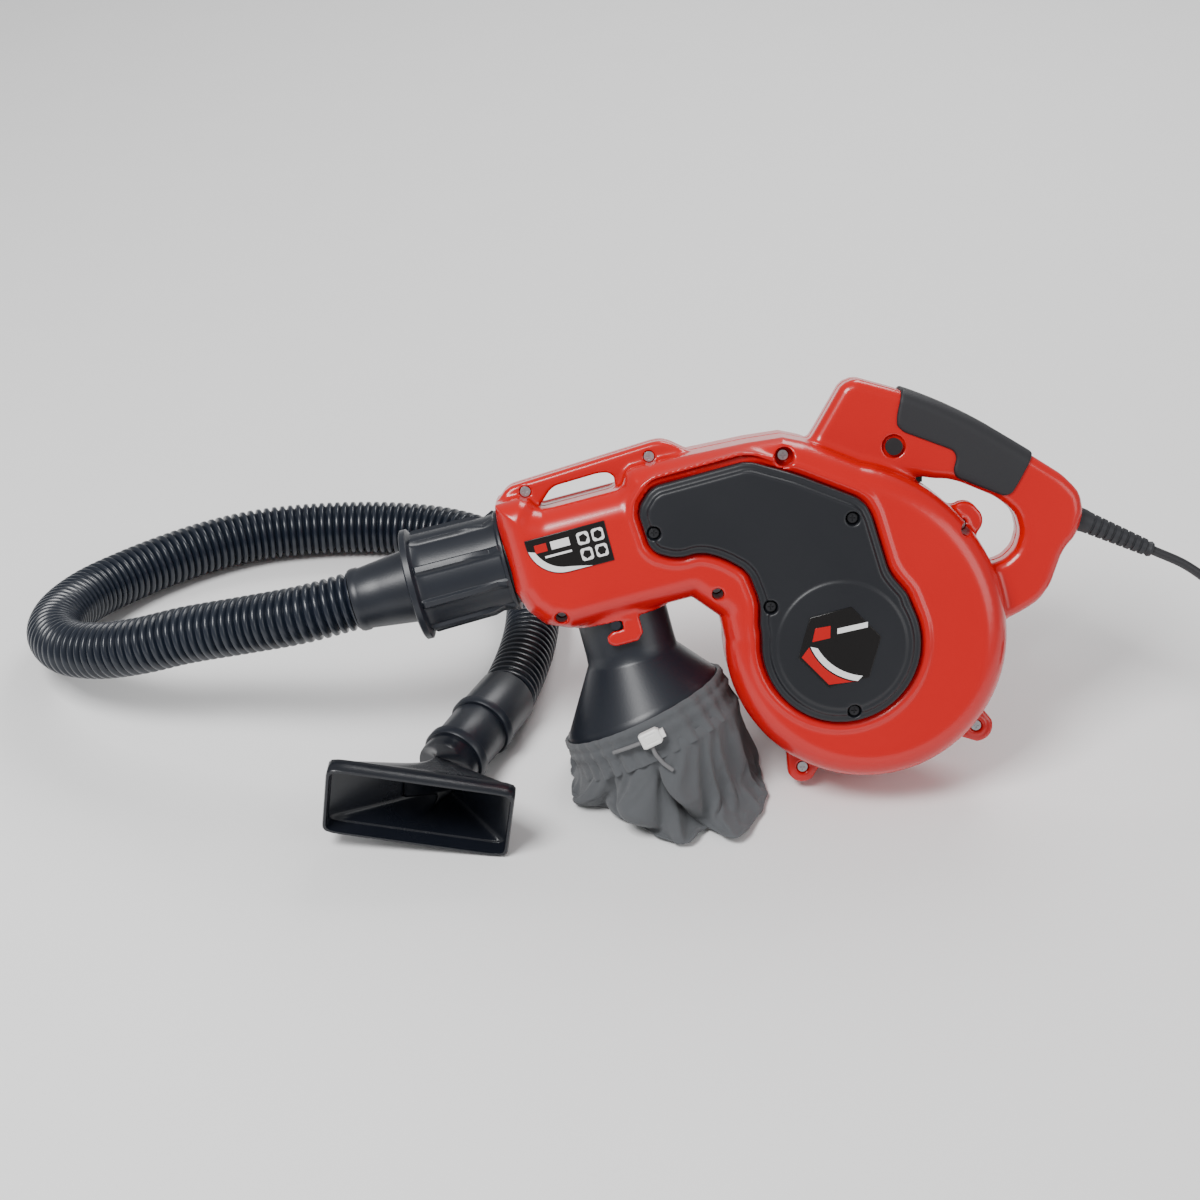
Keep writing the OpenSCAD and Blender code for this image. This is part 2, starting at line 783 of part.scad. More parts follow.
// Lobes of the slack bag on the ground: [x, y, z, radius]
bag_lobes = [[-164, -78, 18, 16], [-84, -99, 14, 13], [-63, -46, 27, 16], [-95, 2, 17, 16], [-160, -2, 13, 12]];

module bag_shape(shrink, top) {
    hull() {
        on_rim() translate([0, 0, 2.7 - hem_w]) cylinder(r = rim_r + 1.5 - shrink, h = top, $fn = 32);
        for (b = bag_lobes) grounded() translate([b[0], b[1], b[2]]) sphere(r = b[3] - shrink, $fn = 24);
    }
}

module dust_bag() {
    color([0.42, 0.44, 0.46]) difference() {
        intersection() {
            difference() {
                bag_shape(0, 0.01);
                bag_shape(2.5, 2);
            }
            grounded() translate([-300, -300, 0]) cube([600, 600, 200]);
        }
        placed() rod(0, 0, -60, 60, 94.5);
    }
}

// The drawstring: in from the hem to the cord lock, and its tail below the lock
string_in = [[-30, -59.5, -9], [-24, -63, -9], [-17, -66.3, -9], [-10.5, -68.6, -9], [-8.3, -68.8, -9]];
string_tail = [[-2, -68.8, -15.3], [-2, -69.2, -22], [0, -68.6, -30], [4, -67.6, -38]];

module drawstring() {
    color("gainsboro") on_rim() {
        swept(string_in, string_d / 2, 8);
        swept(string_tail, string_d / 2, 8);
    }
}

module on_cord_lock() {
    on_rim() translate([0, -68.8, -9]) children();
}

module cord_lock() {
    color("gainsboro") on_cord_lock() difference() {
        cube([16, 9, 12], center = true);
        translate([-2, -2.6, -3.1]) cube([12, 5.2, 6.2]);
    }
}

module cord_lock_button() {
    color("white") on_cord_lock() translate([3, -2.5, -3]) cube([8, 5, 6]);
}

module cord_lock_spring() {
    color("silver") on_cord_lock() translate([-1.9, 0, 0]) rotate([0, 90, 0]) spring_sleeve(1.6, 2.1, 3);
}

// ---- mains cord ----

module power_cord() {
    color([0.08, 0.08, 0.1]) grounded() swept(cord_route, cord_d / 2, 8);
}

module cord_coil() {
    color([0.08, 0.08, 0.1]) grounded() translate([coil_at[0], coil_at[1], coil_lift]) rotate_extrude() {
        translate([coil_r - 7.1, 0]) square([14.2, 28]);
    }
}

module coil_tie() {
    color([0.05, 0.05, 0.05]) grounded() translate([coil_at[0] + coil_r, coil_at[1], 15]) difference() {
        cube([17, 10, 30], center = true);
        cube([15.2, 12, 28.4], center = true);
    }
}

module cord_end() {
    color([0.08, 0.08, 0.1]) grounded() swept(cord_end_route, cord_d / 2, 8);
}

module plug_body() {
    color([0.08, 0.08, 0.1]) grounded() translate(plug_at) {
        bar_x(0, 14, 6);
        bar_x(14, 40, 12.5);
    }
}

module plug_pins() {
    color("silver") grounded() translate(plug_at) for (side = [-1, 1]) translate([0, side * 9.5, 0]) {
        bar_x(40, 59, 2.4);
    }
}

near_shell();
far_shell();
suction_cover();
cover_screws();
body_screws();
fan_badge();
duct_badge();
grip_near();
grip_far();
trigger();
trigger_pin();
trigger_spring();
lock_button();
lock_spring();
switch_body();
capacitor();
impeller();
fan_nut();
motor_shaft();
armature();
commutator();
cooling_fan();
stator();
front_bearing();
rear_bearing();
carbon_brushes();
brush_holders();
motor_housing();
motor_end_cap();
motor_screws();
coupling();
coupling_seal();
inner_tube();
hose_cuff();
suction_hose();
nozzle_cuff();
nozzle_adapter();
nozzle();
bag_funnel();
funnel_pin();
bag_hem();
dust_bag();
drawstring();
cord_lock();
cord_lock_button();
cord_lock_spring();
strain_relief();
cord_clamp();
clamp_screws();
power_cord();
cord_coil();
coil_tie();
cord_end();
plug_body();
plug_pins();
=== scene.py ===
# Looks of the leaf vacuum mulcher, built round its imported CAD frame. Lengths are in metres;
# outlines of the body are in millimetres in the body frame, as in the CAD part.
import bpy
import json
import math
import numpy as np
from mathutils import Matrix, Vector, noise


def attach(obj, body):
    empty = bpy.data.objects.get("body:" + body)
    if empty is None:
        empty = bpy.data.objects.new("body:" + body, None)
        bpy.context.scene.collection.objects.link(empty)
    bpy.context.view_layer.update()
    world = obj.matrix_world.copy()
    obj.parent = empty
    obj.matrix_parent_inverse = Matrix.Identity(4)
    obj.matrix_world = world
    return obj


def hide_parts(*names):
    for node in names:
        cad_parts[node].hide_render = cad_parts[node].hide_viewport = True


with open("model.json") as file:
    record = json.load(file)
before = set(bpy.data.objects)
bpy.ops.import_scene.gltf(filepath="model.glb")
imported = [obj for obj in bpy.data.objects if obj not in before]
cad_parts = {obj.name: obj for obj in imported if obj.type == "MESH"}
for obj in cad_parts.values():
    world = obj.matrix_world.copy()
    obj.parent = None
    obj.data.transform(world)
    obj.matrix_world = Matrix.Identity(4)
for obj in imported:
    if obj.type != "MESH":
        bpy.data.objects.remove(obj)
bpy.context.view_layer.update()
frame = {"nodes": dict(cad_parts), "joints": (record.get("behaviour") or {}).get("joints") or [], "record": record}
scene = bpy.context.scene
MM = 0.001

# ---- the body frame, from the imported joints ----
joints = {j["name"]: j for j in frame["joints"]}
fan_at = Vector(joints["fan_spin"]["pos_m"])
y_dir = Vector(joints["fan_spin"]["axis"]).normalized()
x_dir = Vector((1, 0, 0))
z_dir = x_dir.cross(y_dir)
TURN = Matrix((x_dir, y_dir, z_dir)).transposed().to_4x4()
BODY = Matrix.Translation(fan_at) @ TURN @ Matrix.Scale(MM, 4)
PLACE = Vector((fan_at.x, fan_at.y, 0))
DUCT_TILT = math.radians(15)
DUCT_AT = (-244, 54)
DUCT = BODY @ Matrix.Translation((DUCT_AT[0], 0, DUCT_AT[1])) @ Matrix.Rotation(-DUCT_TILT, 4, "Y")
RIM = BODY @ Matrix.Translation((-143, 0, -58)) @ Matrix.Rotation(-math.radians(26), 4, "Y")
# Depths to each side of the parting plane, and radii, in millimetres
NEAR = 48
FAR = 38
HANDLE = 19
LOOP = 14
LUG = 7
LUGS = [((91, 82), 20), ((107, -71), 16), ((-23, -103), 15)]
SCROLL = 84
GROWTH = 40
FUNNEL_U = 71
RIM_R = 62
COVER_FACE = -57.3
BUTTON_AT = (39, 141)
HOSE_D = 0.044
CORD_D = 0.007
COIL_AT = (0.375, 0.020)
TOP_RECESS = (-43, 136)

HOSE_ROUTE = [(-359, 10, 131), (-400, 7, 120), (-445, 13, 106), (-490, 20, 92), (-530, 26, 77),
              (-565, 39, 63), (-594, 59, 52), (-611, 90, 43), (-612, 127, 35), (-598, 166, 28),
              (-573, 198, 24), (-543, 224, 23), (-509, 246, 23), (-473, 262, 23), (-434, 271, 23),
              (-392, 275, 23), (-350, 274, 23), (-309, 266, 23), (-273, 247, 23), (-247, 217, 23),
              (-234, 182, 23), (-231, 145, 23), (-233, 108, 23), (-239, 70, 24), (-248, 32, 25)]
CORD_ROUTE = [(235, 26, 166), (262, 21, 155), (286, 19, 136), (302, 21, 110), (311, 27, 80), (315, 35, 50),
              (318, 44, 25), (326, 53, 9.5), (341, 59, 4.5), (360, 60.6, 4.5)]
END_ROUTE = [(331.8, 20, 25.8), (331, 38, 25.5), (331, 56, 23), (333, 74, 17), (340, 88, 13), (352, 96, 13),
             (366, 98, 13)]
BODY_SCREWS = [(91, 82, -LUG), (107, -71, -LUG), (-23, -103, -LUG), (-231, 107, -LOOP), (-140, 133, -LOOP),
               (-90, 36, -18), (-204, 18, -18), (*TOP_RECESS, -30)]
COVER_SCREWS = [(-137, 82), (6, 93), (-52, 28), (10, -49)]


def ground(p):
    """A point given in millimetres from the spot below the fan."""
    return PLACE + Vector(p) * MM


# ---- meshes ----

def make_object(name, verts, faces, matrix=None, sharp=38):
    mesh = bpy.data.meshes.new(name)
    mesh.from_pydata([tuple(v) for v in verts], [], [tuple(f) for f in faces])
    if matrix is not None:
        mesh.transform(matrix)
    mesh.validate()
    mesh.update()
    mesh.shade_smooth()
    mesh.set_sharp_from_angle(angle=math.radians(sharp))
    obj = bpy.data.objects.new(name, mesh)
    scene.collection.objects.link(obj)
    return obj


def unit(v):
    return v / np.linalg.norm(v)


def smooth_route(points, spacing):
    """Even points on a smooth line through the given ones."""
    p = np.array(points, float)
    ends = np.vstack([2 * p[0] - p[1], p, 2 * p[-1] - p[-2]])
    out = []
    for k in range(len(p) - 1):
        a, b, c, d = ends[k:k + 4]
        for t in np.linspace(0, 1, 24, endpoint=False):
            out.append(0.5 * (2 * b + (c - a) * t + (2 * a - 5 * b + 4 * c - d) * t ** 2
                              + (3 * b - a - 3 * c + d) * t ** 3))
    out.append(p[-1])
    out = np.array(out)
    run = np.concatenate([[0], np.cumsum(np.linalg.norm(np.diff(out, axis=0), axis=1))])
    count = max(2, int(round(run[-1] / spacing)) + 1)
    at = np.linspace(0, run[-1], count)
    return np.stack([np.interp(at, run, out[:, i]) for i in range(3)], axis=1), at


def route_frames(path):
    """Two directions across the path at each point, turning as little as they can."""
    tangents = np.gradient(path, axis=0)
    tangents /= np.linalg.norm(tangents, axis=1)[:, None]
    n = np.array([0.0, 0.0, 1.0])
    frames = []
    for t in tangents:
        n = unit(n - np.dot(n, t) * t)
        frames.append((n, np.cross(t, n)))
    return frames


def tube(name, path, radii, sides=40, closed=True):
    """A tube round a path; radii has one radius per point."""
    verts, faces = [], []
    for p, r, (n, b) in zip(path, radii, route_frames(path)):
        for k in range(sides):
            a = 2 * math.pi * k / sides
            verts.append(p + r * (math.cos(a) * n + math.sin(a) * b))
    rows = len(path)
    for i in range(rows - 1):
        for k in range(sides):
            m = (k + 1) % sides
            faces.append((i * sides + k, i * sides + m, (i + 1) * sides + m, (i + 1) * sides + k))
    if closed:
        faces.append(tuple(range(sides - 1, -1, -1)))
        faces.append(tuple((rows - 1) * sides + k for k in range(sides)))
    return make_object(name, verts, faces, sharp=60)


def turned(name, profile, matrix, sides=96, ripple=None, sharp=38):
    """A piece turned about x: profile is a closed list of (along, radius)."""
    verts, faces = [], []
    for u, r in profile:
        for k in range(sides):
            a = 2 * math.pi * k / sides
            q = r + (ripple(u, r, a) if ripple else 0)
            verts.append((u, q * math.cos(a), q * math.sin(a)))
    rows = len(profile)
    for i in range(rows):
        for k in range(sides):
            m = (k + 1) % sides
            j = (i + 1) % rows
            faces.append((i * sides + k, j * sides + k, j * sides + m, i * sides + m))
    return make_object(name, verts, faces, matrix, sharp)


def lofted(name, sections, matrix=None, sharp=38, closed_ring=True):
    """A skin through closed sections, each a list of the same number of points."""
    sides = len(sections[0])
    verts = [p for s in sections for p in s]
    rows = len(sections)
    faces = []
    for i in range(rows if closed_ring else rows - 1):
        j = (i + 1) % rows
        for k in range(sides):
            m = (k + 1) % sides
            faces.append((i * sides + k, j * sides + k, j * sides + m, i * sides + m))
    return make_object(name, verts, faces, matrix, sharp)


def plate(name, outline, y0, y1, matrix, rounding=0.4):
    """A thin plate: an outline in x and z, filled from y0 to y1, its edges rounded."""
    count = len(outline)
    verts = [(x, y, z) for y in (y0, y1) for x, z in outline]
    faces = [tuple(range(count)), tuple(range(2 * count - 1, count - 1, -1))]
    faces += [(k, k + count, (k + 1) % count + count, (k + 1) % count) for k in range(count)]
    obj = make_object(name, verts, faces, matrix, 30)
    bevel = obj.modifiers.new("edge", "BEVEL")
    bevel.width = rounding * MM
    bevel.segments = 2
    return obj


# ---- solids by distance fields, for moulded pieces ----

def poly_distance(x, z, points):
    """Distance from (x, z) to a closed outline, negative inside."""
    nearest = np.full(x.shape, 1e9)
    inside = np.zeros(x.shape, bool)
    for (ax, az), (bx, bz) in zip(points, points[1:] + points[:1]):
        ex, ez = bx - ax, bz - az
        wx, wz = x - ax, z - az
        t = np.clip((wx * ex + wz * ez) / (ex * ex + ez * ez), 0, 1)
        nearest = np.minimum(nearest, (wx - ex * t) ** 2 + (wz - ez * t) ** 2)
        if ez != 0:
            inside ^= ((az <= z) != (bz <= z)) & (x < ax + (z - az) * ex / ez)
    d = np.sqrt(nearest)
    return np.where(inside, -d, d)


def slab(flat, y, y0, y1, r):
    """A flat outline's distance made into a slab from y0 to y1 with its edges rounded."""
    a = flat + r
    b = np.abs(y - (y0 + y1) / 2) - (y1 - y0) / 2 + r
    return np.minimum(np.maximum(a, b), 0) + np.hypot(np.maximum(a, 0), np.maximum(b, 0)) - r


def join(a, b, k):
    """Both solids, with the corner between them filled over a distance k."""
    h = np.maximum(k - np.abs(a - b), 0) / k
    return np.minimum(a, b) - h * h * k / 4


def cut(a, b, k):
    """The first solid without the second, its edge rounded over a distance k."""
    return -join(-a, b, k)


def skin(name, field, low, step, matrix, sharp=50):
    """The surface where a distance field is zero."""
    corners = [(i, j, k) for i in (0, 1) for j in (0, 1) for k in (0, 1)]
    shape = tuple(n - 1 for n in field.shape)

    def at(c):
        return field[c[0]:c[0] + shape[0], c[1]:c[1] + shape[1], c[2]:c[2] + shape[2]]

    below = sum((at(c) < 0).astype(np.int8) for c in corners)
    mask = (below > 0) & (below < 8)
    cells = np.argwhere(mask)
    number = -np.ones(shape, np.int64)
    number[mask] = np.arange(len(cells))
    total = np.zeros((len(cells), 3))
    hits = np.zeros(len(cells))
    for axis in range(3):
        for c in corners:
            if c[axis]:
                continue
            d = tuple(c[i] + (i == axis) for i in range(3))
            a, b = at(c)[mask], at(d)[mask]
            crossing = (a < 0) != (b < 0)
            t = np.where(crossing, a / np.where(crossing, a - b, 1), 0)
            point = np.tile(np.array(c, float), (len(cells), 1))
            point[:, axis] += t
            total += point * crossing[:, None]
            hits += crossing
    verts = (cells + total / hits[:, None]) * step + np.array(low)
    faces = []
    for axis in range(3):
        o, p = [i for i in range(3) if i != axis]
        a = np.take(field, range(field.shape[axis] - 1), axis)
        b = np.take(field, range(1, field.shape[axis]), axis)
        spots = np.argwhere((a < 0) != (b < 0))
        within = (spots[:, o] > 0) & (spots[:, p] > 0) & (spots[:, o] < shape[o]) & (spots[:, p] < shape[p])
        spots = spots[within]
        quad = []
        for do, dp in ((1, 1), (0, 1), (0, 0), (1, 0)):
            s = spots.copy()
            s[:, o] -= do
            s[:, p] -= dp
            quad.append(number[s[:, 0], s[:, 1], s[:, 2]])
        quad = np.stack(quad, axis=1)
        flip = (a[tuple(spots.T)] < 0) == (axis == 1)
        quad[flip] = quad[flip][:, ::-1]
        faces.append(quad)
    faces = np.concatenate(faces)
    obj = make_object(name, verts.tolist(), faces.tolist(), matrix, sharp)
    if matrix.determinant() < 0:
        obj.data.flip_normals()
    return obj


def grid(low, high, step):
    """Points of a box, ready to broadcast: outlines need only x and z."""
    x, y, z = [np.arange(a, b + step, step) for a, b in zip(low, high)]
    flat_x, flat_z = np.meshgrid(x, z, indexing="ij")
    return flat_x[:, None, :], y[None, :, None], flat_z[:, None, :]


# ---- outlines, as in the CAD part ----

def scroll_r(a):
    """Radius of the fan's scroll at an angle in degrees from its tongue."""
    if a < 180:
        return SCROLL + GROWTH * math.sin(math.radians(a / 2)) ** 2.4
    return SCROLL + GROWTH + 7 * ((a - 180) / 84) ** 2


def on_body(u, v):
    """A point of the duct's own plane, u along it, in the body's x and z."""
    c, s = math.cos(DUCT_TILT), math.sin(DUCT_TILT)
    return (DUCT_AT[0] + u * c - v * s, DUCT_AT[1] + u * s + v * c)


def polar(r, degrees, at=(0, 0)):
    a = math.radians(degrees)
    return (at[0] + r * math.cos(a), at[1] + r * math.sin(a))


def body_outline():
    spiral = [polar(scroll_r(a), 180 + a) for a in range(0, 265, 4)]
    top = [(-14, 141), (-28, 146), (-43, 149), (-69, 145)]
    duct = [(130, 46), (106, 46), (101, 43), (97, 36), (92, 33.5), (36, 33.5), (31, 36), (27, 43), (22, 46),
            (3, 46), (1, 30), (1, -20), (6, -36), (16, -49), (34, -57), (125, -57)]
    return spiral + top + [on_body(*q) for q in duct] + [(-88, 17)]


def soften(points, *reaches):
    """The outline with its corners cut back once for each reach, so that they turn round."""
    for reach in reaches:
        cut_back = []
        for i, (x, z) in enumerate(points):
            for nx, nz in (points[i - 1], points[(i + 1) % len(points)]):
                t = min(0.4, reach / math.hypot(nx - x, nz - z))
                cut_back.append((x + (nx - x) * t, z + (nz - z) * t))
        points = cut_back
    return points


HANDLE_OUTLINE = soften([(-25, 140), (4, 192), (45, 181), (72, 171), (100, 158), (141, 134),
                         (170, 116), (182, 99), (176, 72), (168, 68), (156, 31), (140, 18),
                         (118, 8), (108, 45), (114, 54), (130, 58), (136, 84), (121, 101),
                         (82, 117), (72, 116), (62, 118), (40, 121), (15, 124), (5, 120)], 7, 2.5)
LOOP_OUTLINE = soften([on_body(*q) for q in [(3, 34), (5, 46), (14, 54), (128, 59), (136, 57),
                                             (150, 45), (150, 34)]], 3, 1)
LOOP_SLOT = soften([on_body(*q) for q in [(32, 33), (46, 46), (84, 47), (92, 44), (92, 38), (90, 33)]], 3, 1)
SWITCH_GAP = [(26, 110), (26, 141), (64, 135), (64, 100)]
HOOK = [on_body(*q) for q in [(71, -40), (84, -40), (84, -72), (79, -77), (62, -77), (57.5, -74),
                              (57.5, -69), (62, -66), (71, -66)]]
COVER = soften([(-149, 98), (-139, 115), (-70, 134), (-34, 124), (13, 106), (19, 98), (35, 48),
                (47, 33), (0, 0), (-57, 10), (-60, 32), (-69, 54), (-87, 64), (-103, 68),
                (-120, 63), (-139, 68)], 4, 1.5)
GRIP = soften([(46, 192), (76, 186), (106, 170), (144, 140), (130, 112), (124, 103), (82, 119), (86, 137),
               (42, 153), (40, 160)], 4, 1.5)


def circle(x, z, at, r):
    return np.hypot(x - at[0], z - at[1]) - r


def cover_flat(x, z):
    """Distance from the suction cover's outline: a disc joined to its long arm."""
    return join(circle(x, z, (0, 0), 58), poly_distance(x, z, COVER), 10)


def half_matrix(side):
    """The body frame for one half, -1 near and 1 far, with its depth measured from the parting plane."""
    return BODY @ Matrix.Diagonal((1, side, 1, 1))


def tab_outline(at, r):
    """An ear's outline: a tapering tab that points away from the fan."""
    turn = math.atan2(at[1], at[0])
    away = math.hypot(*at)
    tab = [(away + a, b) for a, b in ((-40, -26), (2, -0.72 * r), (r - 3, -0.55 * r), (r - 3, 0.55 * r),
                                      (2, 0.72 * r), (-40, 26))]
    tab = [(a * math.cos(turn) - b * math.sin(turn), a * math.sin(turn) + b * math.cos(turn)) for a, b in tab]
    return soften(tab, 5, 2)


def add_lugs(shell, x, y, z):
    """The three ears, each with a raised ring round its screw."""
    for at, r in LUGS:
        shell = join(shell, slab(poly_distance(x, z, tab_outline(at, r)), y, -LUG, LUG, 2.5), 5)
        shell = join(shell, slab(np.abs(circle(x, z, at, 6.2)) - 1.2, y, LUG - 3, LUG + 0.8, 0.8), 1)
    return shell


def near_details(shell, body, x, y, z):
    """The near half's hook, screw recesses, button hole, and the edge round the cover's seat."""
    shell = join(shell, slab(poly_distance(x, z, HOOK), y, 34.8, 39.5, 1.5), 2)
    ridge = slab(np.abs(cover_flat(x, z) - 6) - 1.2, y, NEAR - 30, NEAR + 1.2, 1)
    shell = join(shell, np.maximum(ridge, -(body + 6)), 4)
    for sx, sz, seat in BODY_SCREWS:
        shell = cut(shell, slab(circle(x, z, (sx, sz), 4.4), y, -seat - 2.5, 80, 0.6), 1)
    shell = cut(shell, slab(circle(x, z, TOP_RECESS, 6.8), y, 29, 80, 0.6), 2)
    shell = cut(shell, slab(circle(x, z, BUTTON_AT, 8.2), y, HANDLE - 2.2, 80, 0.4), 1.5)
    return cut(shell, slab(cover_flat(x, z) - 0.8, y, NEAR - 3, 80, 0.5), 1)


def far_details(shell, x, y, z):
    """The far half's ring of small holes round the motor."""
    for a in range(0, 360, 30):
        shell = cut(shell, slab(circle(x, z, polar(56, a), 3), y, FAR - 2, 80, 0.6), 1)
    return shell


def body_shell(name, side, depth, rounding):
    """One red half: body, handle, loop and lugs, rounded and blended. side is -1 near, 1 far."""
    step = 1.25
    low = (-262, -1.5, -126)
    x, y, z = grid(low, (196, depth + 3, 204), step)
    body = slab(poly_distance(x, z, body_outline()), y, -60, depth, rounding)
    handle = slab(poly_distance(x, z, HANDLE_OUTLINE), y, -HANDLE, HANDLE, 8)
    loop = slab(poly_distance(x, z, LOOP_OUTLINE), y, -LOOP, LOOP, 4)
    shell = join(join(body, handle, 7), loop, 4)
    u = (x - DUCT_AT[0]) * math.cos(DUCT_TILT) + (z - DUCT_AT[1]) * math.sin(DUCT_TILT)
    v = (z - DUCT_AT[1]) * math.cos(DUCT_TILT) - (x - DUCT_AT[0]) * math.sin(DUCT_TILT)
    collar = np.maximum(np.hypot(u - FUNNEL_U, y) - 40, np.abs(v + 50) - 9)
    shell = add_lugs(join(shell, collar, 5), x, y, z)
    shell = cut(shell, slab(poly_distance(x, z, LOOP_SLOT), y, -LOOP - 20, LOOP + 3, 1), 3)
    shell = cut(shell, np.maximum(np.hypot(u - FUNNEL_U, y) - 35.2, v + 30), 1.5)
    shell = cut(shell, np.maximum(np.hypot(y, v) - 34, u - 21), 1)
    shell = near_details(shell, body, x, y, z) if side < 0 else far_details(shell, x, y, z)
    shell = cut(shell, slab(poly_distance(x, z, SWITCH_GAP), y, -9, 8.2, 1), 1)
    shell = np.maximum(shell, 0.25 - y)
    return skin(name, shell, low, step, half_matrix(side))


def cover_plate():
    """The dark suction cover: a raised plate with a rounded edge and a ring round the badge."""
    step = 1.0
    low = (-156, -60, -64)
    x, y, z = grid(low, (66, -40, 142), step)
    flat = cover_flat(x, z)
    cover = slab(flat, y, COVER_FACE + 3, -43, 2.5)
    cover = join(cover, slab(flat + 5.5, y, COVER_FACE, -43, 2.2), 2)
    cover = join(cover, slab(circle(x, z, (0, 0), 47), y, COVER_FACE - 1, -43, 1), 1.5)
    for at in COVER_SCREWS:
        cover = cut(cover, slab(circle(x, z, at, 5), y, -80, -50.8, 0.5), 1.5)
    return skin("suction_cover_skin", cover, low, step, BODY)


def grip_pad(name, side):
    """Soft grip: a layer over one side and the top of the handle bar."""
    step = 1.0
    low = (34, -0.5, 98)
    x, y, z = grid(low, (150, 26, 190), step)
    bar = slab(poly_distance(x, z, HANDLE_OUTLINE), y, -HANDLE, HANDLE, 8)
    layer = cut(bar - 2.4, bar + 3, 0.5)
    pad = -join(-layer, -poly_distance(x, z, GRIP), 2)
    pad = np.maximum(pad, 0.2 - y)
    return skin(name, pad, low, step, half_matrix(side))


# ---- suction side ----

def coupling_piece():
    """Hose coupling: a flange, a barrel with raised bars, and the step that seats in the duct."""
    def bars(u, r, a):
        if not -66 < u < -2 or r < 36:
            return 0
        wave = math.cos(9 * a + 0.4)
        return 2.6 * max(0.0, min(1.0, (wave - 0.72) * 9))
    profile = [(-74, 28), (-74, 40.5), (-73, 42), (-69, 42), (-68, 40.5), (-67, 38), (-65.5, 37)]
    profile += [(-60 + 10 * k, 36.8 - 0.2 * k) for k in range(6)]
    profile += [(-3, 36.5), (-1.5, 38.2), (0.4, 38.2), (0.6, 33), (18, 32.6), (20, 28)]
    return turned("coupling_body", profile, DUCT, 180, bars)


def hose_cuff_piece():
    """The hose's tool end: a cone with fine splines and a bead where the hose begins."""
    def splines(u, r, a):
        return 0.5 * math.cos(24 * a) if -70 < u < -30 and r > 25 else 0
    profile = [(-119, 20), (-119, 23.2), (-117, 24), (-113, 24), (-111, 23.2), (-95, 25.2), (-76, 27.6),
               (-72, 28), (-40, 27.4), (-22, 27.2), (-20, 26), (-20, 20)]
    return turned("hose_cuff_body", profile, DUCT, 144, splines)


def hose():
    """The corrugated hose: rounded ribs along a smooth route."""
    pitch = 0.0066
    groove = 0.0036
    path, run = smooth_route([ground(p) for p in HOSE_ROUTE], pitch / 8)
    wave = 0.5 + 0.5 * np.cos(2 * math.pi * run / pitch)
    radii = HOSE_D / 2 - groove * (1 - np.clip(1.5 * wave, 0, 1)) ** 1.3
    return tube("suction_hose_ribbed", path, radii, 44), path


def end_matrix():
    """The frame of the hose's nozzle end, x along the way out of the hose."""
    at = ground(HOSE_ROUTE[-1])
    heading = math.radians(26)
    along = Vector((-math.sin(heading), -math.cos(heading), 0))
    side = Vector((0, 0, 1)).cross(along)
    turn = Matrix((along, side, Vector((0, 0, 1)))).transposed().to_4x4()
    return Matrix.Translation(at) @ turn @ Matrix.Scale(MM, 4)


def ribbed(low, high, count, depth):
    """A ripple for turned(): raised bars along a cuff from low to high."""
    def bars(u, r, a):
        wave = math.cos(count * a)
        return depth * max(0.0, min(1.0, (wave - 0.6) * 6)) if low < u < high and r > 22 else 0
    return bars


def nozzle_cuff_piece():
    profile = [(0.3, 20), (0.3, 22.6), (2, 23.6), (36, 24), (38.5, 24.2), (39.5, 25.6), (44.5, 25.6),
               (46, 24.6), (46, 20)]
    return turned("nozzle_cuff_body", profile, end_matrix(), 120, ribbed(3, 36, 10, 1.1))


def nozzle_adapter_piece():
    profile = [(46.2, 20), (46.2, 22.4), (47.5, 23.2), (76, 22.8), (79.5, 23), (80.5, 25.4), (86.5, 25.4),
               (88, 24.4), (88, 20)]
    return turned("nozzle_adapter_body", profile, end_matrix(), 120, ribbed(50, 74, 8, 1.0))


def rounded_box(width, height, angles):
    """Points of a rectangle with rounded corners, one in each direction."""
    squareness = 17
    pts = []
    for a in angles:
        dx, dz = math.cos(a), math.sin(a)
        across = abs(dx / (width / 2)) ** squareness
        upward = abs(dz / (height / 2)) ** squareness
        reach = (across + upward) ** (-1 / squareness)
        pts.append((reach * dx, reach * dz))
    return pts


def nozzle_piece():
    """The flat nozzle: a round neck flaring into a wide mouth, hollow and open."""
    angles = [2 * math.pi * (k + 0.5) / 160 for k in range(160)]
    start = end_matrix()
    mouth = Matrix.Translation(ground((-308, -127, 38.1))) @ Matrix.Rotation(math.radians(-4), 4, "Z")
    mouth = mouth @ Matrix.Rotation(math.radians(7), 4, "Y") @ Matrix.Scale(MM, 4)

    def neck(s, r):
        return [start @ Vector((s, -r * math.cos(a), r * math.sin(a))) for a in angles]

    def wide(y, grow):
        outline = rounded_box(136 + 2 * grow, 60 + 2 * grow, angles)
        return [mouth @ Vector((x, y, z)) for x, z in outline]

    def flare(a, b, steps):
        return [[p.lerp(q, t ** 1.25) for p, q in zip(a, b)] for t in steps]

    outer = [neck(88.2, 22.6), neck(97, 22.8)]
    outer += flare(neck(100, 22.4), wide(15, -2), np.linspace(0, 1, 14))
    outer += [wide(14, -0.3), wide(13, 0.4), wide(1.5, 0.4), wide(0.4, -0.3)]
    inner = [wide(0.4, -2), wide(12, -2.8)]
    inner += flare(neck(99, 19.4), wide(12.5, -4), np.linspace(1, 0, 14))
    inner += [neck(88.2, 19.6)]
    return lofted("nozzle_body", outer + inner, sharp=45)


# ---- delivery side ----

def ring_of(matrix, z, r, count, wobble=None):
    """A circle of points at a height in a frame; wobble adds to the radius at each angle."""
    pts = []
    for k in range(count):
        a = 2 * math.pi * k / count
        q = r + (wobble(a) if wobble else 0)
        pts.append(matrix @ Vector((q * math.cos(a), q * math.sin(a), z)))
    return pts


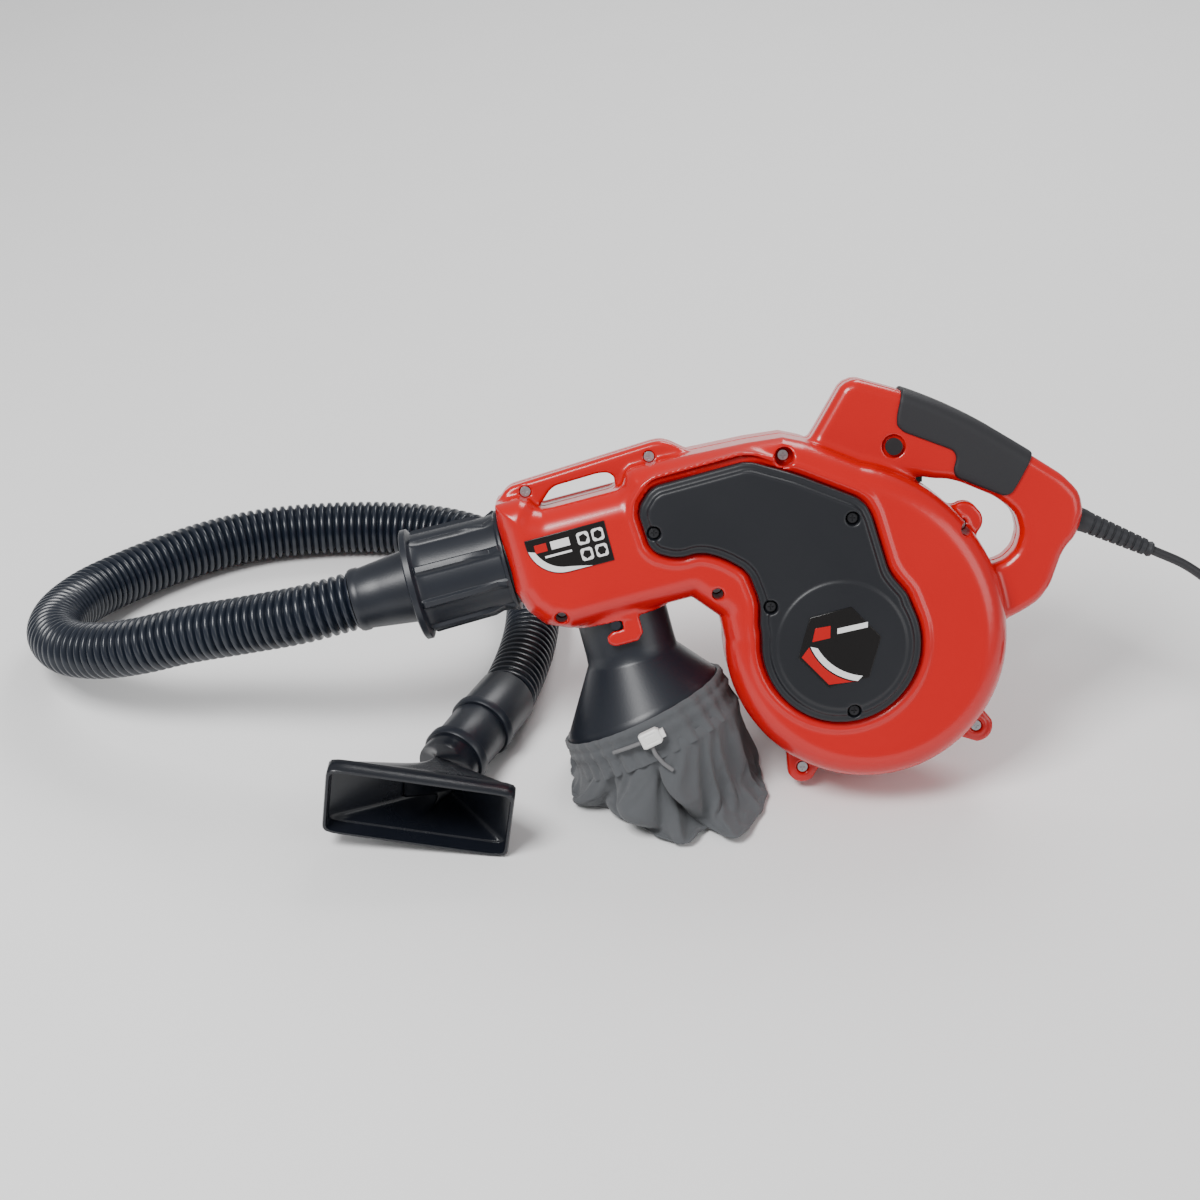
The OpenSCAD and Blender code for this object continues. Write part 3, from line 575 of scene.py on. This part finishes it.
def funnel_piece():
    """The funnel: a collar under the duct that flares out to the bag's rim."""
    count = 120
    top = DUCT @ Matrix.Translation((FUNNEL_U, 0, 0))

    def flare(t, shrink):
        a = ring_of(top, -92, 34 - shrink, count)
        b = ring_of(RIM, 3, RIM_R - shrink, count)
        s = t ** 1.55
        return [p.lerp(q, t).lerp(p.lerp(q, s), 0.75) for p, q in zip(a, b)]

    outer = [ring_of(top, -47, 32.5, count), ring_of(top, -48, 34, count), ring_of(top, -84, 34, count)]
    outer += [flare(t, 0) for t in np.linspace(0.04, 1, 12)]
    outer += [ring_of(RIM, 0, RIM_R, count)]
    inner = [ring_of(RIM, 0, RIM_R - 2.5, count)]
    inner += [flare(t, 2.5) for t in np.linspace(1, 0.04, 12)]
    inner += [ring_of(top, -84, 31.5, count), ring_of(top, -47, 31.5, count)]
    return lofted("funnel_body", outer + inner, sharp=45)


def hem_piece():
    """The bag's hem: a gathered band with a puckered edge over the drawstring."""
    count = 240

    def pucker(depth, turn):
        return lambda a: depth * math.sin(31 * a + 2 * math.sin(3 * a) + turn) * (0.6 + 0.4 * math.sin(5 * a))

    rows = [(2.4, 0.4, 0.3), (3.0, 1.6, 0.6), (1.5, 3.0, 0.8), (-1.5, 3.2, 1.0), (-4, 2.0, 1.1),
            (-6.5, 3.3, 1.2), (-10, 3.8, 1.3), (-13, 2.2, 1.4), (-18, 2.2, 1.7), (-24, 3.2, 2.0),
            (-27, 3.6, 2.2), (-27.6, 1.5, 1.0)]
    outer = [ring_of(RIM, z, RIM_R + g, count, pucker(d, z * 0.05)) for z, g, d in rows]
    inner = [ring_of(RIM, z, RIM_R + 0.3, count) for z in (-27, -10, 2.4)]
    return lofted("bag_hem_cloth", outer + inner, sharp=70)


# The bag's foot on the ground: how far it reaches (mm) at each angle (degrees) round its middle.
# FOOT_EDGE is the share of the way from the hem to the foot's middle where the wall meets the ground.
FOOT = [(0, 66), (40, 70), (85, 56), (139, 62), (190, 72), (239, 62), (305, 80), (360, 66)]
BAG_MIDDLE = (-116, -52, 20)
FOOT_EDGE = 0.68


def puff(phase):
    """A fold's section: round on top with a sharp valley."""
    return abs(math.sin(phase)) ** 0.75 - 0.6


def bump_at(a, degrees, width):
    """A smooth bump, 1 at the given angle and falling off over the width (degrees)."""
    away = (math.degrees(a) - degrees + 180) % 360 - 180
    return math.exp(-(away / width) ** 2)


def swag(a, t):
    """The deep fold below the toggle: it sweeps down and to the right between two rolls."""
    valley = 256 + 52 * t
    rolls = 0.012 * bump_at(a, valley - 21, 12) + 0.012 * bump_at(a, valley + 18, 11)
    return rolls - 0.021 * bump_at(a, valley, 8)


def bag_point(a, t, centre):
    """A point of the slack bag, t going from the hem (0) round the side to the foot's middle (1)."""
    top = RIM @ Vector((RIM_R * 1.02 * math.cos(a), RIM_R * 1.02 * math.sin(a), -20))
    reach = np.interp(math.degrees(a) % 360, [q[0] for q in FOOT], [q[1] for q in FOOT]) * MM
    foot = centre + Vector((reach * math.cos(a), reach * math.sin(a), -0.012))
    down = min(1, t / FOOT_EDGE)
    p = top.lerp(foot, down)
    out = p - centre
    out.z = 0
    out.normalize()
    p = p + out * (0.009 * math.sin(math.pi * down))
    warp = noise.noise(Vector((1.2 * math.cos(a), 1.2 * math.sin(a), 1.6 * t)))
    small = noise.noise(Vector((3 * math.cos(a), 3 * math.sin(a), 5 * t)))
    phase = 2.5 * a + 4.2 * t + 2.2 * warp
    calm = 1 - 0.85 * bump_at(a, 322, 48) - 0.6 * bump_at(a, 262, 34)
    fold = 0.0150 * puff(phase) * (0.35 + 0.65 * down) + 0.0035 * puff(2 * phase + 1.2 * small + 0.8)
    fold = calm * fold + math.sin(0.85 * math.pi * down) * swag(a, t)
    sag = 0.0075 * math.sin(2 * math.pi * down * 1.15 + 1.4 * math.sin(a + 1.0))
    rise = min(1, t / 0.12) * (1 if t < FOOT_EDGE else max(0.15, 1 - 4 * (t - FOOT_EDGE)))
    p = p + out * rise * (fold + sag + 0.002 * small)
    p.z -= rise * 0.4 * fold
    if t > FOOT_EDGE:
        inward = (t - FOOT_EDGE) / (1 - FOOT_EDGE)
        p = p.lerp(Vector((centre.x, centre.y, 0.008)), 0.97 * inward)
    p.z = max(p.z, 0.0035)
    return p


def settle(obj, pinned_count):
    """Lets the folded bag go as cloth onto a floor, held by its first points, and keeps the result."""
    pinned = obj.vertex_groups.new(name="hem")
    pinned.add(list(range(pinned_count)), 1.0, "REPLACE")
    cloth = obj.modifiers.new("drape", "CLOTH")
    cloth.settings.vertex_group_mass = "hem"
    cloth.settings.quality = 4
    cloth.settings.mass = 0.15
    cloth.settings.tension_stiffness = 15
    cloth.settings.compression_stiffness = 15
    cloth.settings.shear_stiffness = 5
    cloth.settings.bending_stiffness = 0.6
    cloth.collision_settings.distance_min = 0.002
    flat = make_object("drape_floor", [(-1, -1, 0), (1, -1, 0), (1, 1, 0), (-1, 1, 0)], [(0, 1, 2, 3)])
    flat.modifiers.new("touch", "COLLISION")
    flat.collision.thickness_outer = 0.002
    flat.collision.cloth_friction = 40
    for f in range(1, 13):
        scene.frame_set(f)
    shaped = bpy.data.meshes.new_from_object(obj.evaluated_get(bpy.context.evaluated_depsgraph_get()))
    scene.frame_set(1)
    obj.modifiers.clear()
    obj.data = shaped
    shaped.shade_smooth()
    bpy.data.objects.remove(flat)


def bag_piece():
    """The dust bag: folded, then settled on the ground as cloth."""
    count, rows = (150, 54)
    centre = ground(BAG_MIDDLE)
    around = [2 * math.pi * k / count for k in range(count)]
    shape = [[bag_point(a, i / rows, centre) for a in around] for i in range(rows + 1)]
    obj = lofted("dust_bag_cloth", shape, sharp=180, closed_ring=False)
    settle(obj, 3 * count)
    fine = obj.modifiers.new("fine", "SUBSURF")
    fine.levels = 1
    fine.render_levels = 1
    thick = obj.modifiers.new("thickness", "SOLIDIFY")
    thick.thickness = 0.0010
    thick.offset = 0
    return obj


# ---- cord side ----

def relief_piece():
    """Strain relief: a tapering sleeve with cut rings."""
    matrix = BODY @ Matrix.Translation((180, 0, 85)) @ Matrix.Rotation(math.radians(23), 4, "Y")
    profile = [(-5, 4), (-5, 8.6), (3, 8.7)]
    for k in range(9):
        u = 6 + 5.6 * k
        r = 8.5 - 2.4 * u / 57
        profile += [(u, r), (u + 3.4, r - 0.2), (u + 3.9, r - 1.3), (u + 5.1, r - 1.3)]
    profile += [(58, 6), (60, 5.2), (60, 3.6), (30, 3.55)]
    return turned("strain_relief_sleeve", profile, matrix, 64)


def coil_route():
    """The stored turns: two columns of turns, from the lower outside to the top."""
    turns = [(0.0432, 4.5), (0.036, 4.5), (0.036, 11.6), (0.0432, 11.6), (0.0432, 18.7), (0.036, 18.7),
             (0.0432, 25.8)]
    start, finish = 110, 180
    span = 360 * (len(turns) - 1) + (360 - (finish - start))
    pts = []
    for d in range(0, int(span) + 1, 6):
        turn = d / 360
        k = min(int(turn), len(turns) - 1)
        t = turn - k
        a, b = turns[k], turns[min(k + 1, len(turns) - 1)]
        mix = max(0.0, (t - 0.8) / 0.2)
        mix = mix * mix * (3 - 2 * mix)
        r = a[0] + (b[0] - a[0]) * mix
        z = a[1] + (b[1] - a[1]) * mix
        x, y = polar(r, start - d, COIL_AT)
        pts.append(PLACE + Vector((x, y, z * MM)))
    return pts


def mains_cord():
    """The cord from the strain relief down to the coil, round it, and on to the plug."""
    lead = [ground(p) for p in CORD_ROUTE[:-1]]
    tail = [ground(p) for p in END_ROUTE[1:]]
    path, run = smooth_route(lead + coil_route() + tail, 0.003)
    obj = tube("mains_cord_sheath", path, np.full(len(path), CORD_D / 2), 14)
    return obj, path, run[-1]


def plug_piece():
    """The plug: a ringed neck and a round body."""
    profile = [(-1, 3.4), (-1, 5), (0, 5.6)]
    for k in range(3):
        u = 4 * k
        profile += [(2 + u, 6 + 0.3 * k), (4 + u, 6.2 + 0.3 * k), (4.6 + u, 4.9), (5.6 + u, 4.9)]
    profile += [(15, 8), (18, 11.5), (22, 12.6), (36, 12.6), (39, 12.2), (40, 11), (40, 1)]
    return turned("plug_shell", profile, Matrix.Translation(ground((366, 98, 13))) @ Matrix.Scale(MM, 4), 72)


def toggle_piece():
    """The cord lock: a small rounded body on the drawstring."""
    step = 0.5
    low = (-11, -8, -9)
    x, y, z = grid(low, (12, 8, 9), step)
    outline = [(-8, -5), (-6, -6), (6, -6), (8, -4), (8, 4), (6, 6), (-6, 6), (-8, 5)]
    groove = np.abs(np.maximum(np.abs(x) - 7.5, np.abs(z) - 6) + 3) - 0.4
    lock = slab(poly_distance(x, z, outline), y, -4.4, 4.4, 2)
    lock = cut(lock, slab(groove, y, -9, -4, 0.2), 0.5)
    return skin("cord_lock_body", lock, low, step, RIM @ Matrix.Translation((0, -68.8, -9)), 60)


# ---- materials ----

def varied(nodes, links, cloud, shader, color, rough, spread):
    """Colour and roughness that drift a little over the surface."""
    tint = nodes.new("ShaderNodeMix")
    tint.data_type = "RGBA"
    tint.inputs["A"].default_value = (*[c * (1 - spread) for c in color], 1)
    tint.inputs["B"].default_value = (*[min(1, c * (1 + spread)) for c in color], 1)
    links.new(cloud.outputs["Fac"], tint.inputs["Factor"])
    links.new(tint.outputs["Result"], shader.inputs["Base Color"])
    span = nodes.new("ShaderNodeMapRange")
    span.inputs["To Min"].default_value = rough * 0.85
    span.inputs["To Max"].default_value = min(1, rough * 1.2)
    links.new(cloud.outputs["Fac"], span.inputs["Value"])
    links.new(span.outputs["Result"], shader.inputs["Roughness"])


def woven(nodes, links, place, height, scale):
    """The height with crossing threads added."""
    threads = []
    for direction in ("X", "Z"):
        wave = nodes.new("ShaderNodeTexWave")
        wave.bands_direction = direction
        wave.inputs["Scale"].default_value = scale
        wave.inputs["Distortion"].default_value = 0.6
        links.new(place.outputs["Object"], wave.inputs["Vector"])
        threads.append(wave.outputs["Fac"])
    both = math_node(nodes, links, "MULTIPLY", *threads)
    return math_node(nodes, links, "ADD", both, height)


def math_node(nodes, links, operation, a, b):
    node = nodes.new("ShaderNodeMath")
    node.operation = operation
    links.new(a, node.inputs[0])
    links.new(b, node.inputs[1])
    return node.outputs["Value"]


def material(name, color, rough, bump, spread, metal=0.0, coat=0.0, edge=0.0, sheen=0.0, weave=0.0):
    """A procedural finish. bump is its depth in mm and its scale; edge is a softened edge in mm."""
    m = bpy.data.materials.new(name)
    m.use_nodes = True
    nodes, links = m.node_tree.nodes, m.node_tree.links
    shader = nodes["Principled BSDF"]
    place = nodes.new("ShaderNodeTexCoord")
    cloud = nodes.new("ShaderNodeTexNoise")
    cloud.inputs["Scale"].default_value = 14
    cloud.inputs["Detail"].default_value = 4
    links.new(place.outputs["Object"], cloud.inputs["Vector"])
    varied(nodes, links, cloud, shader, color, rough, spread)
    shader.inputs["Metallic"].default_value = metal
    shader.inputs["Coat Weight"].default_value = coat
    shader.inputs["Coat Roughness"].default_value = 0.12
    shader.inputs["Sheen Weight"].default_value = sheen
    grain = nodes.new("ShaderNodeTexNoise")
    grain.inputs["Scale"].default_value = bump[1]
    grain.inputs["Detail"].default_value = 3
    links.new(place.outputs["Object"], grain.inputs["Vector"])
    height = grain.outputs["Fac"]
    if weave:
        height = woven(nodes, links, place, height, weave)
    relief = nodes.new("ShaderNodeBump")
    relief.inputs["Strength"].default_value = 0.5
    relief.inputs["Distance"].default_value = bump[0] * MM
    links.new(height, relief.inputs["Height"])
    if edge:
        soft = nodes.new("ShaderNodeBevel")
        soft.samples = 4
        soft.inputs["Radius"].default_value = edge * MM
        links.new(soft.outputs["Normal"], relief.inputs["Normal"])
    links.new(relief.outputs["Normal"], shader.inputs["Normal"])
    return m


def finishes():
    """Every finish: name, colour, roughness, bump, colour spread, and what is special about it."""
    looks = [
        ("red_shell", (0.52, 0.0005, 0.001), 0.25, (0.06, 35), 0.04, {"coat": 0.2}),
        ("dark_cover", (0.0065, 0.0075, 0.011), 0.40, (0.10, 900), 0.12, {"edge": 0.6}),
        ("steel", (0.6, 0.6, 0.62), 0.3, (0.05, 500), 0.08, {"metal": 1, "edge": 0.3}),
        ("badge", (0.004, 0.003, 0.003), 0.25, (0.02, 300), 0.1, {}),
        ("soft_grip", (0.011, 0.011, 0.014), 0.58, (0.16, 1300), 0.12, {"edge": 0.5}),
        ("black_plastic", (0.012, 0.010, 0.012), 0.4, (0.08, 700), 0.12, {"edge": 0.5}),
        ("black_screw", (0.05, 0.05, 0.055), 0.35, (0.05, 500), 0.1, {"metal": 0.8, "edge": 0.3}),
        ("spring_steel", (0.45, 0.45, 0.46), 0.3, (0.05, 500), 0.1, {"metal": 1}),
        ("capacitor_case", (0.5, 0.3, 0.05), 0.35, (0.05, 200), 0.1, {"edge": 0.5}),
        ("fan_plastic", (0.04, 0.04, 0.045), 0.45, (0.1, 500), 0.1, {"edge": 0.5}),
        ("windings", (0.45, 0.18, 0.06), 0.35, (0.4, 700), 0.2, {"metal": 0.6}),
        ("copper", (0.7, 0.35, 0.18), 0.3, (0.1, 400), 0.12, {"metal": 1, "edge": 0.3}),
        ("laminations", (0.22, 0.22, 0.24), 0.5, (0.2, 600), 0.15, {"metal": 0.8, "edge": 0.3}),
        ("bearing_steel", (0.62, 0.62, 0.64), 0.2, (0.03, 500), 0.06, {"metal": 1, "edge": 0.3}),
        ("carbon", (0.03, 0.03, 0.03), 0.7, (0.1, 900), 0.2, {"edge": 0.3}),
        ("brass", (0.75, 0.52, 0.2), 0.3, (0.05, 500), 0.1, {"metal": 1, "edge": 0.3}),
        ("adapter_plastic", (0.010, 0.0125, 0.019), 0.36, (0.10, 700), 0.14, {"edge": 0.5}),
        ("seal_rubber", (0.015, 0.015, 0.015), 0.8, (0.1, 600), 0.1, {}),
        ("hose_plastic", (0.008, 0.012, 0.021), 0.28, (0.08, 500), 0.18, {}),
        ("nozzle_plastic", (0.006, 0.0075, 0.012), 0.28, (0.10, 500), 0.15, {"edge": 0.5}),
        ("bag_cloth", (0.085, 0.090, 0.097), 0.92, (0.30, 500), 0.14, {"sheen": 0.15, "weave": 900}),
        ("string", (0.16, 0.16, 0.165), 0.8, (0.3, 900), 0.1, {}),
        ("toggle", (0.80, 0.80, 0.78), 0.35, (0.05, 500), 0.05, {"edge": 0.3}),
        ("relief_rubber", (0.016, 0.017, 0.021), 0.55, (0.1, 800), 0.12, {}),
        ("cord_rubber", (0.016, 0.016, 0.019), 0.5, (0.1, 900), 0.12, {}),
        ("tie", (0.02, 0.02, 0.02), 0.95, (0.4, 1200), 0.2, {}),
        ("plug_plastic", (0.018, 0.018, 0.021), 0.45, (0.1, 700), 0.12, {"edge": 0.4}),
        ("plug_brass", (0.72, 0.62, 0.42), 0.25, (0.03, 400), 0.08, {"metal": 1, "edge": 0.3}),
        ("mark_white", (0.78, 0.78, 0.78), 0.35, (0.02, 300), 0.04, {}),
        ("mark_red", (0.45, 0.0015, 0.002), 0.3, (0.02, 300), 0.05, {}),
    ]
    return {name: material(name, *values, **special) for name, *values, special in looks}


def add(obj, body, slot, nodes=()):
    """Gives a piece its finish and its body, and lets it stand for CAD nodes."""
    obj.data.materials.clear()
    obj.data.materials.append(paint[slot])
    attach(obj, body)
    if nodes:
        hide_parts(*nodes)
    return obj


# ---- camera, floor and lights ----

camera = bpy.data.objects.new("camera", bpy.data.cameras.new("camera"))
scene.collection.objects.link(camera)
scene.camera = camera
camera.data.lens = 70
camera.data.sensor_width = 36
camera.data.clip_start = 0.01
camera.location = PLACE + Vector((-0.1759, -1.4202, 1.1328))
camera.rotation_euler = (math.radians(55), 0, 0)

paint = finishes()
owner = {}
for row in frame["record"]["subparts"]:
    owner[row["node"]] = row["material_slot"]
for name, obj in frame["nodes"].items():
    obj.data.materials.clear()
    obj.data.materials.append(paint["black_screw" if name == "cover_screws" else owner[name]])

# ---- hose and cord first ----
hose_body, hose_path = hose()
add(hose_body, "root", "hose_plastic", ["suction_hose"])
cuff = add(nozzle_cuff_piece(), "root", "adapter_plastic", ["nozzle_cuff"])
adapter = add(nozzle_adapter_piece(), "root", "adapter_plastic", ["nozzle_adapter"])
add(nozzle_piece(), "root", "nozzle_plastic", ["nozzle"])
cord_body, cord_path, cord_length = mains_cord()
add(cord_body, "root", "cord_rubber", ["power_cord", "cord_coil", "cord_end"])
plug = add(plug_piece(), "root", "plug_plastic", ["plug_body"])

# ---- the body ----
add(body_shell("near_shell_skin", -1, NEAR, 20), "root", "red_shell", ["near_shell"])
add(body_shell("far_shell_skin", 1, FAR, 16), "root", "red_shell", ["far_shell"])
add(cover_plate(), "root", "dark_cover", ["suction_cover"])
add(grip_pad("grip_near_skin", -1), "root", "soft_grip", ["grip_near"])
add(grip_pad("grip_far_skin", 1), "root", "soft_grip", ["grip_far"])
add(coupling_piece(), "coupling", "adapter_plastic", ["coupling"])
add(hose_cuff_piece(), "root", "adapter_plastic", ["hose_cuff"])
add(funnel_piece(), "funnel", "adapter_plastic", ["bag_funnel"])
hem = add(hem_piece(), "funnel", "bag_cloth", ["bag_hem"])
bag = add(bag_piece(), "funnel", "bag_cloth", ["dust_bag"])
add(relief_piece(), "root", "relief_rubber", ["strain_relief"])
add(toggle_piece(), "funnel", "toggle", ["cord_lock"])


# ---- badges, plain shapes with no lettering ----

def arc_points(centre, r, start, end, step=5):
    turn = step if end > start else -step
    return [polar(r, a, centre) for a in range(start, end, turn)]


def mark(name, outline, y, matrix, lift=0.3):
    """A thin shape that stands just proud of a badge whose near face is at y."""
    return plate(name, outline, y - lift, y + 0.1, matrix, 0.08)


def hex_badge():
    """The six-sided badge on the suction cover."""
    y = COVER_FACE - 1.8
    centre = (-2, -1)
    hexagon = [polar(31, 15 + 60 * k, centre) for k in range(6)]
    base = plate("fan_badge_plate", hexagon, y, y + 0.8, BODY)
    left, low, right = [polar(28.5, a, centre) for a in (195, 255, 300)]
    arc = (16, 17)
    swoosh = arc_points(arc, 43, 204, 268) + arc_points((18, 20), 42, 266, 206)
    shapes = [("swoosh", swoosh, "mark_white"),
              ("field", arc_points(arc, 44, 204, 262) + [right, low, left], "mark_red"),
              ("block", [(-22, 3), (-9, 6), (-9, 15), (-20, 13)], "mark_red"),
              ("bar", [(-4, 9), (18, 14), (18, 18), (-4, 13)], "mark_white")]
    return base, [(mark("fan_badge_" + name, outline, y, BODY), finish) for name, outline, finish in shapes]


def duct_badge():
    """The badge on the duct, with four tiles."""
    y = -NEAR - 0.8
    outline = [(78, 17), (18, 17)] + arc_points((44, 13), 26, 180, 271, 6) + [(78, -13)]
    base = plate("duct_badge_plate", outline, y, y + 0.8, DUCT)
    swoosh = arc_points((44, 13), 25.4, 190, 271) + [(62, -12.6)] + arc_points((47, 16), 25, 266, 196)
    shapes = [("swoosh", swoosh, "mark_white"),
              ("block", [(24, 6), (33, 6), (33, 12), (24, 12)], "mark_red"),
              ("bar", [(36, 6), (50, 6), (50, 12), (36, 12)], "mark_white"),
              ("line", [(30, 1), (50, 1), (50, 2.6), (30, 2.6)], "mark_white")]
    marks = [(mark("duct_badge_" + name, outline, y, DUCT), finish) for name, outline, finish in shapes]
    for k, (u, v) in enumerate(((60, 8.5), (71, 8.5), (60, -3.5), (71, -3.5))):
        corners = [(u - 4.4, v - 4.6), (u + 4.4, v - 4.6), (u + 4.4, v + 4.6), (u - 4.4, v + 4.6)]
        dark = [polar(3.4, a, (u, v)) for a in range(20 * k, 360 + 20 * k, 72 - 12 * (k % 2))]
        marks.append((mark(f"duct_badge_tile_{k}", soften(corners, 1.2, 0.4), y, DUCT), "mark_white"))
        marks.append((mark(f"duct_badge_dot_{k}", dark, y, DUCT, 0.45), "badge"))
    return base, marks


for base, marks, node in (hex_badge() + ("fan_badge",), duct_badge() + ("duct_badge",)):
    add(base, "root", "badge", [node])
    for obj, finish in marks:
        add(obj, "root", finish)

# ---- floor and light ----

def studio():
    """A pale floor, an even pale world and three soft lamps."""
    floor = make_object("floor", [(-30, -30, 0), (30, -30, 0), (30, 30, 0), (-30, 30, 0)], [(0, 1, 2, 3)])
    m = material("floor_paint", (0.86, 0.86, 0.86), 0.9, (0.05, 40), 0.01)
    floor.data.materials.append(m)
    world = bpy.data.worlds.new("world")
    world.use_nodes = True
    world.node_tree.nodes["Background"].inputs["Color"].default_value = (1, 1, 1, 1)
    world.node_tree.nodes["Background"].inputs["Strength"].default_value = 0.42
    scene.world = world
    for name, at, size, power in (("key", (-1.0, -0.9, 2.1), 0.9, 62), ("fill", (1.6, -1.2, 1.1), 1.2, 12),
                                  ("rim", (0.5, 1.6, 1.7), 1.0, 26)):
        light = bpy.data.objects.new(name, bpy.data.lights.new(name, "AREA"))
        light.data.size = size
        light.data.energy = power
        light.location = at
        light.rotation_euler = (Vector((0, 0, 0.1)) - Vector(at)).to_track_quat("-Z", "Y").to_euler()
        scene.collection.objects.link(light)


studio()
